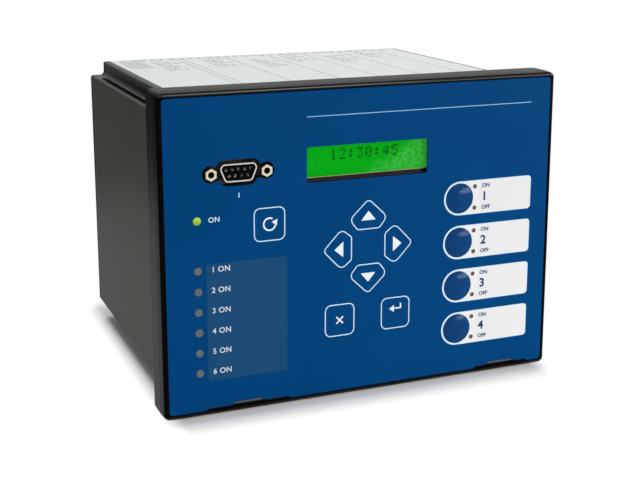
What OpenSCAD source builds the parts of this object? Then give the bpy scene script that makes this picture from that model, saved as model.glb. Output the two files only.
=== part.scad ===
// Panel-mounted capacitor bank controller: a stepped sleeve behind a square bezel with a
// printed face, a display, a serial port, lamps, seven flat keys and four round buttons.
// X runs to the right of the face, Y into the panel, Z up. The origin is the middle of the
// whole part's footprint, at the height of the bezel's lower edge.

/* [Bezel] */
// Width of the bezel
bezel_w = 192; // [184:0.5:210]
// Height of the bezel
bezel_h = 144; // [140:0.5:164]
// Depth from the printed face to the back of the bezel
bezel_depth = 16; // [15:0.5:22]
// Corner radius of the bezel
bezel_corner = 2.6; // [2.6:0.1:6]
// How far the bezel's sides lean in towards the front
bezel_draft = 0.3; // [0.1:0.05:0.6]
// Thickness of the black front rim
rim_t = 1.3; // [1.2:0.05:2]
// Width of the black front rim seen from the front
rim_w = 2.2; // [2:0.05:2.5]
// Radius of the rim's front edge
rim_round = 1.2; // [0.6:0.05:1.2]
// Thickness of the seal behind the bezel
seal_t = 1; // [0.6:0.1:2]
// Width of the seal
seal_w = 2.6; // [2:0.1:2.8]

/* [Sleeve] */
// How far the bezel stands out past the sleeve at each side
side_lip = 4.25; // [4:0.05:6]
// How far the bezel stands out past the sleeve above and below
top_lip = 3.8; // [3.6:0.05:6]
// Depth from the printed face to the back of the rear panel
body_depth = 149.5; // [130:0.5:190]
// Wall of the sleeve
sleeve_wall = 2.4; // [2:0.1:3]
// Width of the step along each corner of the sleeve
notch_w = 6.9; // [6:0.1:8]
// Height of the step along each corner of the sleeve
notch_h = 6.8; // [5.5:0.1:8]
// Fillet at the root of the step
notch_fillet = 2.1; // [1:0.1:2.6]
// Rounding of the step's upper edge
lip_round = 1; // [0.5:0.1:1.5]
// Rounding of the side wall's edge
ledge_round = 1.3; // [0.5:0.1:1.8]
// Width of the clamp groove in each step
groove_w = 2.4; // [1.2:0.1:2.5]
// Depth of the clamp groove
groove_depth = 1.4; // [0.8:0.1:1.4]
// Length of plain step between the groove and the back
groove_end = 15; // [8:0.5:30]
// Thickness of the rear panel
rear_panel_t = 3; // [2:0.1:4]
// Depth of sleeve held inside the bezel
sleeve_grip = 8; // [6:0.5:8]

/* [Printed face] */
// Thickness of the printed face sheet
sheet_t = 0.5; // [0.3:0.05:0.7]
// Corner radius of the printed face sheet
sheet_corner = 1.6; // [1:0.1:4]
// Thickness of the bezel's front wall behind the sheet
front_wall = 3.5; // [3:0.1:4]
// Gap between a key and the opening it moves in
key_gap = 0.2; // [0.15:0.05:0.3]
// Travel of a flat key
key_travel = 0.6; // [0.3:0.05:0.9]
// Travel of a round button
button_travel = 1; // [0.5:0.05:1.2]

/* [Display] */
// Width of the display opening
display_w = 58.7; // [50:0.1:64]
// Height of the display opening
display_h = 15.9; // [12:0.1:18]
// Height of the display's middle above the face's middle
display_rise = 36.8; // [34:0.1:42]
// Depth of the display glass behind the face
display_set_back = 3; // [2.6:0.1:4]

/* [Keys] */
// Distance from the middle of the arrow pad to the middle of each arrow key
arrow_reach = 14.75; // [14:0.05:16]
// Height of the arrow pad's middle against the face's middle
arrow_pad_rise = -2.85; // [-6:0.05:0]
// Width of an arrow key across its base
arrow_w = 17.2; // [14:0.1:18]
// Length of an arrow key from base to tip
arrow_h = 13.6; // [12.4:0.1:14.5]
// Width of the flat base of an arrow key, corners included
arrow_base_w = 13.2; // [11:0.1:13.4]
// Width of a square key
square_key_w = 14.7; // [12:0.1:16]
// Height of a square key
square_key_h = 15.3; // [12:0.1:17]
// Corner radius of a square key
square_key_corner = 3; // [1:0.1:4]
// Distance between the two lower square keys
square_key_spacing = 27.85; // [26:0.05:34]
// Height of the two lower square keys against the face's middle
square_key_rise = -35.9; // [-45:0.1:-35]
// Distance from the sheet's left edge to the reset key's middle
reset_key_inset = 46.8; // [44:0.1:50]
// Height of the reset key against the face's middle
reset_key_rise = 12.2; // [8:0.1:14]

/* [Round buttons] */
// Diameter of a round button
button_d = 13.8; // [10:0.1:14.5]
// Height of a round button's dome
button_dome = 1.1; // [0.5:0.05:1.2]
// Distance between two round buttons
button_pitch = 21.1; // [18:0.1:21.5]
// Distance from the sheet's right edge to the buttons' middle
button_inset = 46.85; // [44:0.05:48]
// Height of the middle of the button column against the face's middle
button_column_rise = -16.4; // [-18:0.1:-10]

/* [Lamps] */
// Diameter of a status lamp
lamp_d = 3.5; // [2:0.1:4]
// Distance between two status lamps
lamp_pitch = 9.25; // [7:0.05:9.6]
// Distance from the sheet's left edge to the lamp column
lamp_inset = 14.15; // [12:0.05:15]
// Height of the middle of the lamp column against the face's middle
lamp_column_rise = -28.65; // [-30:0.05:-20]
// Height of the power lamp against the face's middle
power_lamp_rise = 16.5; // [8:0.1:24]
// Diameter of a button lamp
button_lamp_d = 1.9; // [1.2:0.05:2]
// Sideways distance from a button to its lamps
button_lamp_reach = 8; // [8:0.05:9]
// Upward distance from a button to its lamp
button_lamp_rise = 5.08; // [4.5:0.02:6]

/* [Label cards] */
// Width of the lamp label card
lamp_card_w = 38; // [30:0.1:40]
// Length of the lamp label card
lamp_card_l = 67.5; // [62:0.1:69]
// Width of the button label card
button_card_w = 29.3; // [24:0.1:29.5]
// Thickness of a label card
card_t = 0.4; // [0.2:0.05:0.5]

/* [Front port] */
// Distance from the sheet's left edge to the port's middle
port_inset = 33; // [31:0.1:36]
// Height of the port against the face's middle
port_rise = 36.3; // [33:0.1:40]
// How far the port's screw posts stand out of the face
post_reach = 1.2; // [0.2:0.1:2]

/* [Boards] */
// Thickness of a circuit board
board_t = 1.6; // [1.2:0.1:2]
// Height of the communication board against the middle of the sleeve
upper_board_rise = 33; // [30:0.5:38]
// Height of the relay board against the middle of the sleeve
middle_board_rise = -6; // [-8:0.5:0]
// Height of the measuring board against the middle of the sleeve
lower_board_rise = -46; // [-50:0.5:-44]

/* [Rear] */
// How far the rear terminals and sockets stand out of the rear panel
rear_reach = 12; // [9:0.5:16]
// Spacing of the ring-lug terminals
lug_pitch = 11; // [10:0.1:12]
// Number of current terminals
current_count = 6; // [2:2:6]
// Number of voltage terminals
voltage_count = 4; // [2:1:4]
// Spacing of the control wire terminals
wire_pitch = 5.08; // [4.6:0.02:5.5]
// Number of wires in each control terminal block
wire_count = 8; // [2:1:8]
// Diameter of the earthing stud
stud_d = 4; // [3:0.5:5]

/* [Hidden] */

// Facets of a drawn circle, which stays a true arc
arc_facets = 48;
// Overlap of a cut past the face it opens, and of a fillet into its wall
over = 0.5;
// Clearance between pieces that drop into one another
fit_gap = 0.3;
// Clearance of a close fit
close_gap = 0.1;
// How far the slanted sides of an arrow key or port outline are set in
side_tuck = 0.02;

// Overall lengths, and the face's place along Y so that the part is centred
total_depth = post_reach + body_depth + rear_reach;
face_y = post_reach - total_depth / 2;
mid_z = bezel_h / 2;
rim_gap = 0.15;
sheet_w = bezel_w - 2 * (bezel_draft + rim_w);
sheet_h = bezel_h - 2 * (bezel_draft + rim_w);
wall_back = sheet_t + front_wall;
lean_depth = 4.7;
shadow_gap = 0.3;

// Sleeve sizes
sleeve_w = bezel_w - 2 * side_lip;
sleeve_h = bezel_h - 2 * top_lip;
sleeve_front = bezel_depth - sleeve_grip;
sleeve_back = body_depth - rear_panel_t;
inner_w = sleeve_w - 2 * sleeve_wall;
inner_h = sleeve_h - 2 * sleeve_wall;
step_w = inner_w - 2 * notch_w;
step_h = inner_h - 2 * notch_h;
port_boss_r = 3;
port_bore_r = 1.5;
port_set = 2.2;
corner_u = step_w / 2 - port_set;
corner_v = inner_h / 2 - port_set;
guide_reach = 3;
guide_t = 1.4;

// Screws
head_r = 2.9;
head_t = 2;
screw_slack = 0.05;
screw_hole_r = port_bore_r + 0.2;
screw_length = 8;

// Places on the face, from its middle
left_edge = -sheet_w / 2;
right_edge = sheet_w / 2;
bottom_edge = -sheet_h / 2;
pad_u = 0.5;
display_u = 0.2;
lamp_u = left_edge + lamp_inset;
reset_u = left_edge + reset_key_inset;
port_u = left_edge + port_inset;
button_u = right_edge - button_inset;
status_count = 6;
button_count = 4;
status_v = [for (i = [0:status_count - 1])
    lamp_column_rise + ((status_count - 1) / 2 - i) * lamp_pitch];
button_v = [for (i = [0:button_count - 1])
    button_column_rise + ((button_count - 1) / 2 - i) * button_pitch];
button_lamp_u = button_u + button_lamp_reach;

// Label cards, their pockets and their windows
card_border = 0.4;
pocket_gap = 0.2;
pocket_depth = card_t + 0.2;
card_lift = 1;
lamp_card_u = lamp_u + lamp_d / 2 + 1.5 + lamp_card_w / 2;
lamp_card_top = bottom_edge + lamp_card_l;
lamp_window_w = lamp_card_w - 2 * card_border;
lamp_window_bottom = bottom_edge + 13.5;
lamp_window_top = lamp_card_top - 2 * card_border;
button_card_left = button_lamp_u + button_lamp_d / 2 + 0.9;
button_card_u = button_card_left + button_card_w / 2;
button_card_top = button_v[0] + button_d / 2 + 3;
button_window_h = 15.8;
button_window_left = button_card_left + 1.5 * card_border;
button_window_w = button_card_w - 4.5 * card_border;
window_corner = 1.7;
slot_rise = 0.95;
tab_rise = 2.15;
tab_half = 8;
tab_slope = 1.9;
recess_depth = 2.2;

// Keys and buttons
key_flange_t = 0.8;
key_flange = 0.8;
flange_depth = wall_back + fit_gap;
stem_r = 1.8;
dome_r = 3;
dome_h = 0.3;
press_room = 0.1;
board_front = wall_back + 8;
board_back = board_front + board_t;
arrow_tip_r = 2.3;
arrow_side_r = 3;
arrow_base_r = 2.2;
arrow_side_drop = 1.8;
// Radius of the sphere that gives a dome of the stated height over the button's width
sphere_r = (pow(button_d / 2, 2) + pow(button_dome, 2)) / (2 * button_dome);

// Lamps
lamp_foot = 0.3;
lamp_foot_t = 2;
lamp_proud = 0.1;

// Display
window_front = 1.6;
window_t = 1;
window_w = display_w + 6;
window_h = display_h + 4;
glass_w = display_w + 4;
glass_h = display_h + 1;
glass_back = display_set_back + 1.8;
aperture_w = display_w + 2.4;
aperture_h = display_h - 0.9;
aperture_rise = 0.3;
display_board_w = display_w + 13;
display_board_h = display_h + 8.2;
display_board_back = glass_back + board_t;
display_post_inset = 2.8;
display_post_r = 1.6;

// Nine-way sockets
flange_set = 5.5;
flange_t = 0.8;
flange_w = 30.8;
flange_h = 12.5;
post_spacing = 24.99;
port_outer_w = 16.3;
port_outer_h = 7.9;
port_corner = 2.2;
port_lean = 1.4;
port_skin = 0.5;
port_proud = 0.4;
port_height = flange_set + port_proud;
cut_grow = 1.9;
ear_r = 3.8;
post_flats = 4.75;
post_bore_r = 1.4;
post_stud_r = 1.5;
contact_pitch = 2.77;
contact_row = 2.84;
contact_r = 0.62;
contact_bore_r = 0.4;
contact_depth = 5;
contact_places = concat([for (i = [-2:2]) [i * contact_pitch, contact_row / 2]],
    [for (i = [-1.5:1.5]) [i * contact_pitch, -contact_row / 2]]);

// Boards, and the front board's screw posts
board_start = board_back + 10.4;
board_end = sleeve_back - 0.5;
board_half = inner_w / 2 - fit_gap;
upper_top = upper_board_rise + board_t;
middle_top = middle_board_rise + board_t;
lower_top = lower_board_rise + board_t;
front_board_w = step_w + 2 * notch_w - 2 * guide_reach - 1;
front_board_h = step_h - 2.4;
standoff_r = 2.6;
standoff_bore_r = 1.25;
standoff_u = front_board_w / 2 - 12;
standoff_v = front_board_h / 2 - 3.5;

// Rear sockets and terminals
serial_inset = 27.35;
serial_pitch = 36;
serial_u = [inner_w / 2 - serial_inset, inner_w / 2 - serial_inset - serial_pitch];
serial_depth = 12;
serial_reach = 5;
serial_v = upper_top + flange_h / 2;
serial_height = rear_panel_t + 5.9;
network_u = serial_u[1] - 38;
network_w = 16;
network_h = 13.4;
network_depth = 21;
plug_w = 11.8;
plug_h = 8;
plug_rise = 3.2;
plug_depth = 14;
latch_w = 6;
latch_h = 2;
latch_rise = 1.4;
clock_u = network_u - 30;
clock_r = 4.8;
clock_bore_r = 3.9;
clock_v = upper_top + 7;
clock_reach = 8.5;
clock_depth = 12;
clock_pin_r = 0.9;
clock_pin_l = 1.6;
clock_pin_drop = 3;
clock_core_r = 1;
lug_h = 18;
lug_base = 4;
lug_screw_r = 3.5;
lug_bore_r = 1.75;
fin_t = 1.6;
current_w = current_count * lug_pitch + fin_t;
voltage_w = voltage_count * lug_pitch + fin_t;
terminal_margin = 11.35;
terminal_gap = 3;
current_u = inner_w / 2 - terminal_margin - current_w / 2;
voltage_u = current_u - current_w / 2 - terminal_gap - voltage_w / 2;
lug_v = lower_top + lug_h / 2;
power_pitch = 7.62;
power_count = 3;
wire_h = 12;
wire_side = 2;
power_w = power_count * power_pitch + wire_side;
power_u = voltage_u - voltage_w / 2 - terminal_gap - power_w / 2;
control_w = wire_count * wire_pitch + wire_side;
control_spacing = control_w + 4;
wire_hole = 3.2;
wire_hole_depth = 9;
wire_screw_r = 1.5;
wire_screw_drop = 0.8;
wire_screw_l = 6;
block_seat = 9;
stud_u = terminal_margin - inner_w / 2;
stud_v = (lower_top + lug_h + middle_board_rise) / 2;
nut_flats = 7;
nut_t = 3.2;
stud_head_t = 3;
block_start = board_end - block_seat;

// Parts on the boards
connector_w = 50;
connector_l = 16;
connector_h = 8;
chip_start = board_start + 36;
processor_w = 24;
processor_h = 2.4;
memory_u = 40;
memory_w = 18;
memory_l = 12;
memory_h = 1.6;
driver_pitch = 30;
driver_back = 68;
driver_start = board_start + driver_back;
driver_w = 10;
driver_l = 14;
driver_h = 2;
battery_r = 10;
battery_t = 4;
battery_inset = 23;
battery_back = 26;
battery_start = board_start + battery_back;
relay_count = 5;
relay_pitch = 16;
relay_w = 12.6;
relay_l = 29;
relay_h = 15.7;
relay_clear = 10;
relay_start = block_start - relay_clear - relay_l;
part_inset = 23;
core_w = 34;
core_l = 30;
core_h = 22.5;
core_back = 40;
core_start = board_start + core_back;
core_inset = 37;
coil_w = 28;
coil_l = 18;
coil_h = 26;
capacitor_count = 3;
capacitor_pitch = 22;
capacitor_r = 9;
capacitor_h = 28;
capacitor_back = 34;
capacitor_start = board_start + capacitor_back;
current_core_w = 2 * lug_pitch - 3;
current_core_l = 26;
current_core_h = 28;
current_core_clear = 15;
current_core_start = block_start - current_core_clear - current_core_l;
voltage_core_pitch = 30;
voltage_core_w = 24;
voltage_core_l = 26;
voltage_core_h = 24;
voltage_core_back = 26;
voltage_core_start = board_start + voltage_core_back;

// Every wire block as [middle u, bottom v, ways, pitch]
wire_blocks = concat([for (i = [-1:1]) [i * control_spacing, middle_top, wire_count, wire_pitch]],
    [[power_u, lower_top, power_count, power_pitch]]);

function ways(count, pitch) = [for (i = [0:count - 1]) (i - (count - 1) / 2) * pitch];
lug_u = concat([for (u = ways(current_count, lug_pitch)) current_u + u],
    [for (u = ways(voltage_count, lug_pitch)) voltage_u + u]);

// Tangent points of the line that passes circles a and b on their right, each [x, y, r]
function tangent(a, b) =
    let (dx = b[0] - a[0], dy = b[1] - a[1],
         n = atan2(dy, dx) - acos((a[2] - b[2]) / norm([dx, dy])))
    [[a[0] + a[2] * cos(n), a[1] + a[2] * sin(n)],
     [b[0] + b[2] * cos(n), b[1] + b[2] * sin(n)]];

// The same circles, each grown by one amount
function grown(circles, by) = [for (c = circles) [c[0], c[1], c[2] + by]];

function arrow_circles() = [
    [arrow_base_r - arrow_base_w / 2, arrow_base_r - arrow_h / 2, arrow_base_r],
    [arrow_base_w / 2 - arrow_base_r, arrow_base_r - arrow_h / 2, arrow_base_r],
    [arrow_w / 2 - arrow_side_r, -arrow_side_drop, arrow_side_r],
    [0, arrow_h / 2 - arrow_tip_r, arrow_tip_r],
    [arrow_side_r - arrow_w / 2, -arrow_side_drop, arrow_side_r]
];

function box_circles(w, h, r) = [
    [r - w / 2, r - h / 2, r], [w / 2 - r, r - h / 2, r],
    [w / 2 - r, h / 2 - r, r], [r - w / 2, h / 2 - r, r]
];

function port_circles() = [
    [port_corner + port_lean - port_outer_w / 2, port_corner - port_outer_h / 2, port_corner],
    [port_outer_w / 2 - port_corner - port_lean, port_corner - port_outer_h / 2, port_corner],
    [port_outer_w / 2 - port_corner, port_outer_h / 2 - port_corner, port_corner],
    [port_corner - port_outer_w / 2, port_outer_h / 2 - port_corner, port_corner]
];

square_key_circles = box_circles(square_key_w, square_key_h, square_key_corner);

// Turn of each arrow key about the pad's middle: up, down, left, right
arrow_turns = [0, 180, 90, -90];

// Closed outline drawn tight round circles that are listed anticlockwise. Its straight sides
// are set in by tuck, so that a slanted side crosses its arcs cleanly.
module taut_outline(circles, tuck = 0) {
    last = len(circles);
    inner = grown(circles, -tuck);
    polygon([for (i = [0:last - 1]) each tangent(inner[i], inner[(i + 1) % last])]);
    for (c = circles) translate([c[0], c[1]]) circle(r = c[2], $fn = arc_facets);
}

module arrow_outline(grow = 0) taut_outline(grown(arrow_circles(), grow), side_tuck);

module port_outline(grow = 0) taut_outline(grown(port_circles(), grow), side_tuck);

module square_outline(grow = 0) taut_outline(grown(square_key_circles, grow));

module rounded(w, h, r) taut_outline(box_circles(w, h, r));

// Repeats a shape drawn in the upper right quarter in all four
module quarters() for (turn = [0, 180]) rotate(turn) {
    children();
    mirror([1, 0]) children();
}

// Sliver between two edges that meet at the origin and the arc that rounds them
module spandrel(r) difference() {
    translate([-over, -over]) square(r + over);
    translate([r, r]) circle(r = r, $fn = arc_facets);
}

// Places children on the face's plane, d behind it, with z towards the viewer
module on_face(d = 0) translate([0, face_y + d, mid_z]) rotate([90, 0, 0]) children();

// Places children at u, v and depth d, with z out of the back
module on_back(u, v, d) translate([u, face_y + d, mid_z + v]) rotate([90, 0, 180]) children();

// Extrudes an outline of the face from depth d0 back to depth d1
module slab(d0, d1) on_face(d1) linear_extrude(d1 - d0) children();

module rod(u, v, d0, d1, r) slab(d0, d1) translate([u, v]) circle(r = r, $fn = arc_facets);

module block(u, v, w, h, d0, d1) slab(d0, d1) translate([u, v]) square([w, h], center = true);

// A box that stands on a board: its middle u, its first depth, and its width, length and height
module on_board(top, u, d, w, l, h) translate([u - w / 2, face_y + d, mid_z + top]) cube([w, l, h]);

module corner_rods(d0, d1, r) for (a = [-1, 1], b = [-1, 1]) rod(a * corner_u, b * corner_v, d0, d1, r);

module standoff_rods(d0, d1, r) for (a = [-1, 1], b = [-1, 1])
    rod(a * standoff_u, b * standoff_v, d0, d1, r);

// Sweeps a profile round a rectangle with rounded corners. The profile's x runs outwards
// from the rectangle's edge, and its y runs towards the viewer.
module swept_rim(w, h, r) {
    for (turn = [0, 180]) rotate(turn) {
        translate([w / 2, 0, 0]) rotate([90, 0, 0])
            linear_extrude(h - 2 * r, center = true) children();
        translate([0, h / 2, 0]) rotate([90, 0, 90])
            linear_extrude(w - 2 * r, center = true) children();
        for (side = [-1, 1]) translate([side * (w / 2 - r), h / 2 - r, 0])
            rotate(side > 0 ? 0 : 90) rotate_extrude(angle = 90, $fn = arc_facets)
            translate([r, 0]) children();
    }
}

// Stepped outline of the sleeve, grown by a clearance where a seat is cut for it
module sleeve_outline(grow = 0) {
    w = sleeve_w + 2 * grow;
    h = sleeve_h + 2 * grow;
    difference() {
        union() {
            square([w - 2 * notch_w, h], center = true);
            square([w, h - 2 * notch_h], center = true);
            quarters() translate([w / 2 - notch_w, h / 2 - notch_h]) spandrel(notch_fillet);
        }
        quarters() translate([w / 2 - notch_w, h / 2]) rotate(180) spandrel(lip_round);
        quarters() translate([w / 2, h / 2 - notch_h]) rotate(180) spandrel(ledge_round);
    }
}

// Board guides: two ribs at each side for every board, which rests on the lower rib
module board_guides() for (side = [-1, 1], rise = [upper_board_rise, middle_board_rise, lower_board_rise],
        edge = [-guide_t, board_t + fit_gap])
    translate([side > 0 ? inner_w / 2 - guide_reach : -inner_w / 2 - over, rise + edge])
        square([guide_reach + over, guide_t]);

module sleeve() color([0.27, 0.28, 0.26]) difference() {
    slab(sleeve_front, sleeve_back) difference() {
        union() {
            difference() {
                sleeve_outline();
                square([step_w, inner_h], center = true);
                square([inner_w, step_h], center = true);
            }
            quarters() translate([corner_u, corner_v]) {
                circle(r = port_boss_r, $fn = arc_facets);
                square(port_set + over);
            }
            board_guides();
        }
        quarters() translate([corner_u, corner_v]) circle(r = port_bore_r, $fn = arc_facets);
    }
    slab(sleeve_front - over, body_depth - groove_end) quarters()
        translate([sleeve_w / 2 - notch_w + notch_fillet + close_gap, sleeve_h / 2 - notch_h - groove_depth])
        square([groove_w, groove_depth + over]);
}

// Notched lower edge of the sheet over a card slot: a low slot with a raised finger notch
module slot_notch(u, w) translate([u, bottom_edge]) polygon([
    [-w / 2, -over], [-w / 2 + slot_rise / 2, slot_rise], [-tab_half, slot_rise],
    [-tab_half + tab_slope, tab_rise], [tab_half - tab_slope, tab_rise], [tab_half, slot_rise],
    [w / 2 - slot_rise / 2, slot_rise], [w / 2, -over]
]);

module port_cut() translate([port_u, port_rise]) {
    port_outline(cut_grow);
    for (side = [-1, 1]) translate([side * post_spacing / 2, 0]) circle(r = ear_r, $fn = arc_facets);
    square([post_spacing, 1.6 * ear_r], center = true);
}

module arrow_place(turn) translate([pad_u, arrow_pad_rise]) rotate(turn)
    translate([0, arrow_reach]) children();

module key_outlines(gap) {
    for (turn = arrow_turns) arrow_place(turn) arrow_outline(gap);
    for (side = [-1, 1]) translate([pad_u + side * square_key_spacing / 2, square_key_rise])
        square_outline(gap);
    translate([reset_u, reset_key_rise]) square_outline(gap);
}

module lamp_outlines(gap) {
    for (v = concat(status_v, [power_lamp_rise])) translate([lamp_u, v])
        circle(r = lamp_d / 2 + gap, $fn = arc_facets);
    for (v = button_v, side = [-1, 1]) translate([button_lamp_u, v + side * button_lamp_rise])
        circle(r = button_lamp_d / 2 + gap, $fn = arc_facets);
}

// Openings that both the sheet and the wall behind it have
module face_openings(gap) {
    key_outlines(gap);
    lamp_outlines(gap / 2);
    for (v = button_v) translate([button_u, v]) circle(r = button_d / 2 + gap, $fn = arc_facets);
    port_cut();
}

// Clear windows over the two label cards
module window_outlines(gap) {
    translate([lamp_card_u, (lamp_window_top + lamp_window_bottom) / 2])
        rounded(lamp_window_w + 2 * gap, lamp_window_top - lamp_window_bottom + 2 * gap, 0.6);
    for (v = button_v) translate([button_window_left + button_window_w / 2, v])
        rounded(button_window_w + 2 * gap, button_window_h + 2 * gap, window_corner);
}

module face_sheet() color([0.0, 0.26, 0.47]) slab(0, sheet_t) difference() {
    rounded(sheet_w, sheet_h, sheet_corner);
    face_openings(key_gap);
    window_outlines(close_gap);
    translate([display_u, display_rise]) rounded(display_w, display_h, 1);
    slot_notch(lamp_card_u, lamp_card_w + 1);
    slot_notch(button_card_u, button_card_w);
}

module label_windows() color([0.9, 0.95, 1, 0.3]) slab(0, sheet_t) window_outlines(0);

module front_rim() color([0.02, 0.02, 0.02])
    on_face(rim_t) swept_rim(bezel_w - 2 * bezel_draft, bezel_h - 2 * bezel_draft, bezel_corner)
    difference() {
        translate([rim_gap - rim_w, 0]) square([rim_w - rim_gap, rim_t]);
        translate([0, rim_t]) rotate(180) spandrel(rim_round);
    }

// Section of the housing's leaning front edge, with the fine groove behind the rim
module lean_section() polygon([
    [0, -over], [0, 0], [-bezel_draft, lean_depth - shadow_gap],
    [-bezel_draft - rim_round, lean_depth - shadow_gap], [-bezel_draft - rim_round, lean_depth],
    [over - bezel_corner, lean_depth], [over - bezel_corner, -over]
]);

module card_pocket(u, w, top) slab(sheet_t - over, sheet_t + pocket_depth)
    translate([u - w / 2 - pocket_gap, bottom_edge - over])
    square([w + 2 * pocket_gap, top + pocket_gap - bottom_edge + over]);

module finger_recess(u) slab(sheet_t - over, sheet_t + recess_depth)
    translate([u - tab_half, bottom_edge]) square([2 * tab_half, card_lift + slot_rise]);

module front_housing() color([0.25, 0.26, 0.24]) {
    head_back = sheet_t + pocket_depth + head_t + pocket_gap;
    core_w = bezel_w - 2 * bezel_corner + 4 * over;
    core_h = bezel_h - 2 * bezel_corner + 4 * over;
    difference() {
        union() {
            slab(rim_t + lean_depth, bezel_depth) rounded(bezel_w, bezel_h, bezel_corner);
            on_face(rim_t + lean_depth) swept_rim(bezel_w, bezel_h, bezel_corner) lean_section();
            slab(rim_t, rim_t + lean_depth + over) rounded(core_w, core_h, 2 * over);
            slab(sheet_t, rim_t + over) rounded(sheet_w, sheet_h, sheet_corner);
        }
        slab(wall_back, sleeve_front + over) {
            rounded(step_w, inner_h, 1);
            rounded(inner_w, step_h, 1);
        }
        slab(sleeve_front, bezel_depth + over) sleeve_outline(fit_gap);
        slab(sheet_t - over, wall_back + over) face_openings(key_gap + close_gap);
        card_pocket(lamp_card_u, lamp_card_w, lamp_card_top);
        card_pocket(button_card_u, button_card_w, button_card_top);
        finger_recess(lamp_card_u);
        finger_recess(button_card_u);
        block(display_u, display_rise, display_w + 3, display_h, sheet_t - over, wall_back);
        block(display_u, display_rise, window_w + 2 * close_gap, window_h + 2 * close_gap,
            window_front, wall_back + over);
        corner_rods(sheet_t - over, sleeve_front, screw_hole_r);
        corner_rods(sheet_t - over, head_back, head_r + pocket_gap);
    }
    // Frame that carries the port's flange
    slab(wall_back - over, flange_set) difference() {
        translate([port_u, port_rise]) square([flange_w + 4, flange_h + 3], center = true);
        port_cut();
    }
    // Tubes that meet the sleeve's screw ports, and posts for the front board
    difference() {
        corner_rods(wall_back - over, sleeve_front, port_boss_r);
        corner_rods(wall_back - 2 * over, sleeve_front + over, screw_hole_r);
    }
    difference() {
        standoff_rods(wall_back - over, board_front, standoff_r);
        standoff_rods(wall_back, board_front + over, standoff_bore_r);
    }
}

module panel_seal() color([0.05, 0.05, 0.05]) slab(bezel_depth, bezel_depth + seal_t) difference() {
    rounded(bezel_w - 1, bezel_h - 1, bezel_corner - over);
    rounded(bezel_w - 1 - 2 * seal_w, bezel_h - 1 - 2 * seal_w, 1);
}

module label_card(u, w, top) slab(sheet_t + pocket_depth - card_t, sheet_t + pocket_depth)
    translate([u - w / 2, bottom_edge + card_lift]) square([w, top - bottom_edge - card_lift]);

module lamp_label_card() color([0.13, 0.32, 0.49]) label_card(lamp_card_u, lamp_card_w, lamp_card_top);

module button_label_card() color([0.92, 0.93, 0.92])
    label_card(button_card_u, button_card_w, button_card_top);

// A key: the cap through the wall, the flange that holds it behind the wall, and the stem.
// The first child is the cap's outline and the second the flange's.
module key_body() {
    slab(0, flange_depth + key_flange_t) children(0);
    slab(flange_depth, flange_depth + key_flange_t) children(1);
    rod(0, 0, flange_depth, board_front - dome_h - key_travel - press_room, stem_r);
}

module arrow_key(turn) color([0.0, 0.28, 0.5]) translate([pad_u, 0, mid_z + arrow_pad_rise])
    rotate([0, -turn, 0]) translate([0, 0, arrow_reach - mid_z]) key_body() {
        arrow_outline();
        arrow_outline(key_flange);
    }

module square_key(u, v) color([0.0, 0.28, 0.5]) translate([u, 0, v]) key_body() {
    square_outline();
    square_outline(key_flange);
}

module key_up() arrow_key(arrow_turns[0]);
module key_down() arrow_key(arrow_turns[1]);
module key_left() arrow_key(arrow_turns[2]);
module key_right() arrow_key(arrow_turns[3]);
module key_cancel() square_key(pad_u - square_key_spacing / 2, square_key_rise);
module key_accept() square_key(pad_u + square_key_spacing / 2, square_key_rise);
module key_reset() square_key(reset_u, reset_key_rise);

module round_button(v) color([0.0, 0.27, 0.52]) translate([button_u, 0, v]) {
    on_face() rotate_extrude($fn = arc_facets) intersection() {
        translate([0, button_dome - sphere_r]) circle(r = sphere_r, $fn = arc_facets);
        translate([0, -flange_depth - key_flange_t])
            square([button_d / 2, flange_depth + key_flange_t + button_dome]);
    }
    rod(0, 0, flange_depth, flange_depth + key_flange_t, button_d / 2 + key_flange);
    rod(0, 0, flange_depth, board_front - dome_h - button_travel - press_room, stem_r);
}

module button_1() round_button(button_v[0]);
module button_2() round_button(button_v[1]);
module button_3() round_button(button_v[2]);
module button_4() round_button(button_v[3]);

// A lamp's light pipe: its lens in the face and its foot on the front board
module lamp(u, v, d) {
    rod(u, v, -lamp_proud, board_front, d / 2);
    rod(u, v, board_front - lamp_foot_t, board_front, d / 2 + lamp_foot);
}

module power_lamp() color([0.6, 0.85, 0.15]) lamp(lamp_u, power_lamp_rise, lamp_d);

module status_lamps() color([0.43, 0.42, 0.38]) for (v = status_v) lamp(lamp_u, v, lamp_d);

module button_lamps() color([0.35, 0.27, 0.15]) for (v = button_v, side = [-1, 1])
    lamp(button_lamp_u, v + side * button_lamp_rise, button_lamp_d);

module display_window() color([0.8, 0.9, 0.85, 0.4])
    block(display_u, display_rise, window_w, window_h, window_front, window_front + window_t);

module display_glass() color([0.1, 0.65, 0.2])
    block(display_u, display_rise, glass_w, glass_h, display_set_back, glass_back);

module display_frame() color([0.08, 0.08, 0.08]) difference() {
    block(display_u, display_rise, window_w, window_h, window_front + window_t, glass_back);
    block(display_u, display_rise, glass_w, glass_h, display_set_back, glass_back + over);
    block(display_u, display_rise + aperture_rise, aperture_w, aperture_h, window_front, glass_back);
}

module display_board() color([0.1, 0.35, 0.2]) {
    block(display_u, display_rise, display_board_w, display_board_h, glass_back, display_board_back);
    for (a = [-1, 1], b = [-1, 1]) rod(display_u + a * (display_board_w / 2 - display_post_inset),
        display_rise + b * (display_board_h / 2 - display_post_inset),
        display_board_back - over, board_front, display_post_r);
}

// Metal shell of a nine-way socket, which faces +z with its flange's front at z = 0
module socket_shell(height) {
    translate([0, 0, -flange_t]) linear_extrude(flange_t) difference() {
        rounded(flange_w, flange_h, 1.2);
        for (side = [-1, 1]) translate([side * post_spacing / 2, 0])
            circle(r = post_stud_r + close_gap, $fn = arc_facets);
        port_outline(-port_skin);
    }
    linear_extrude(height) difference() {
        port_outline();
        port_outline(-port_skin);
    }
}

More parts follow.
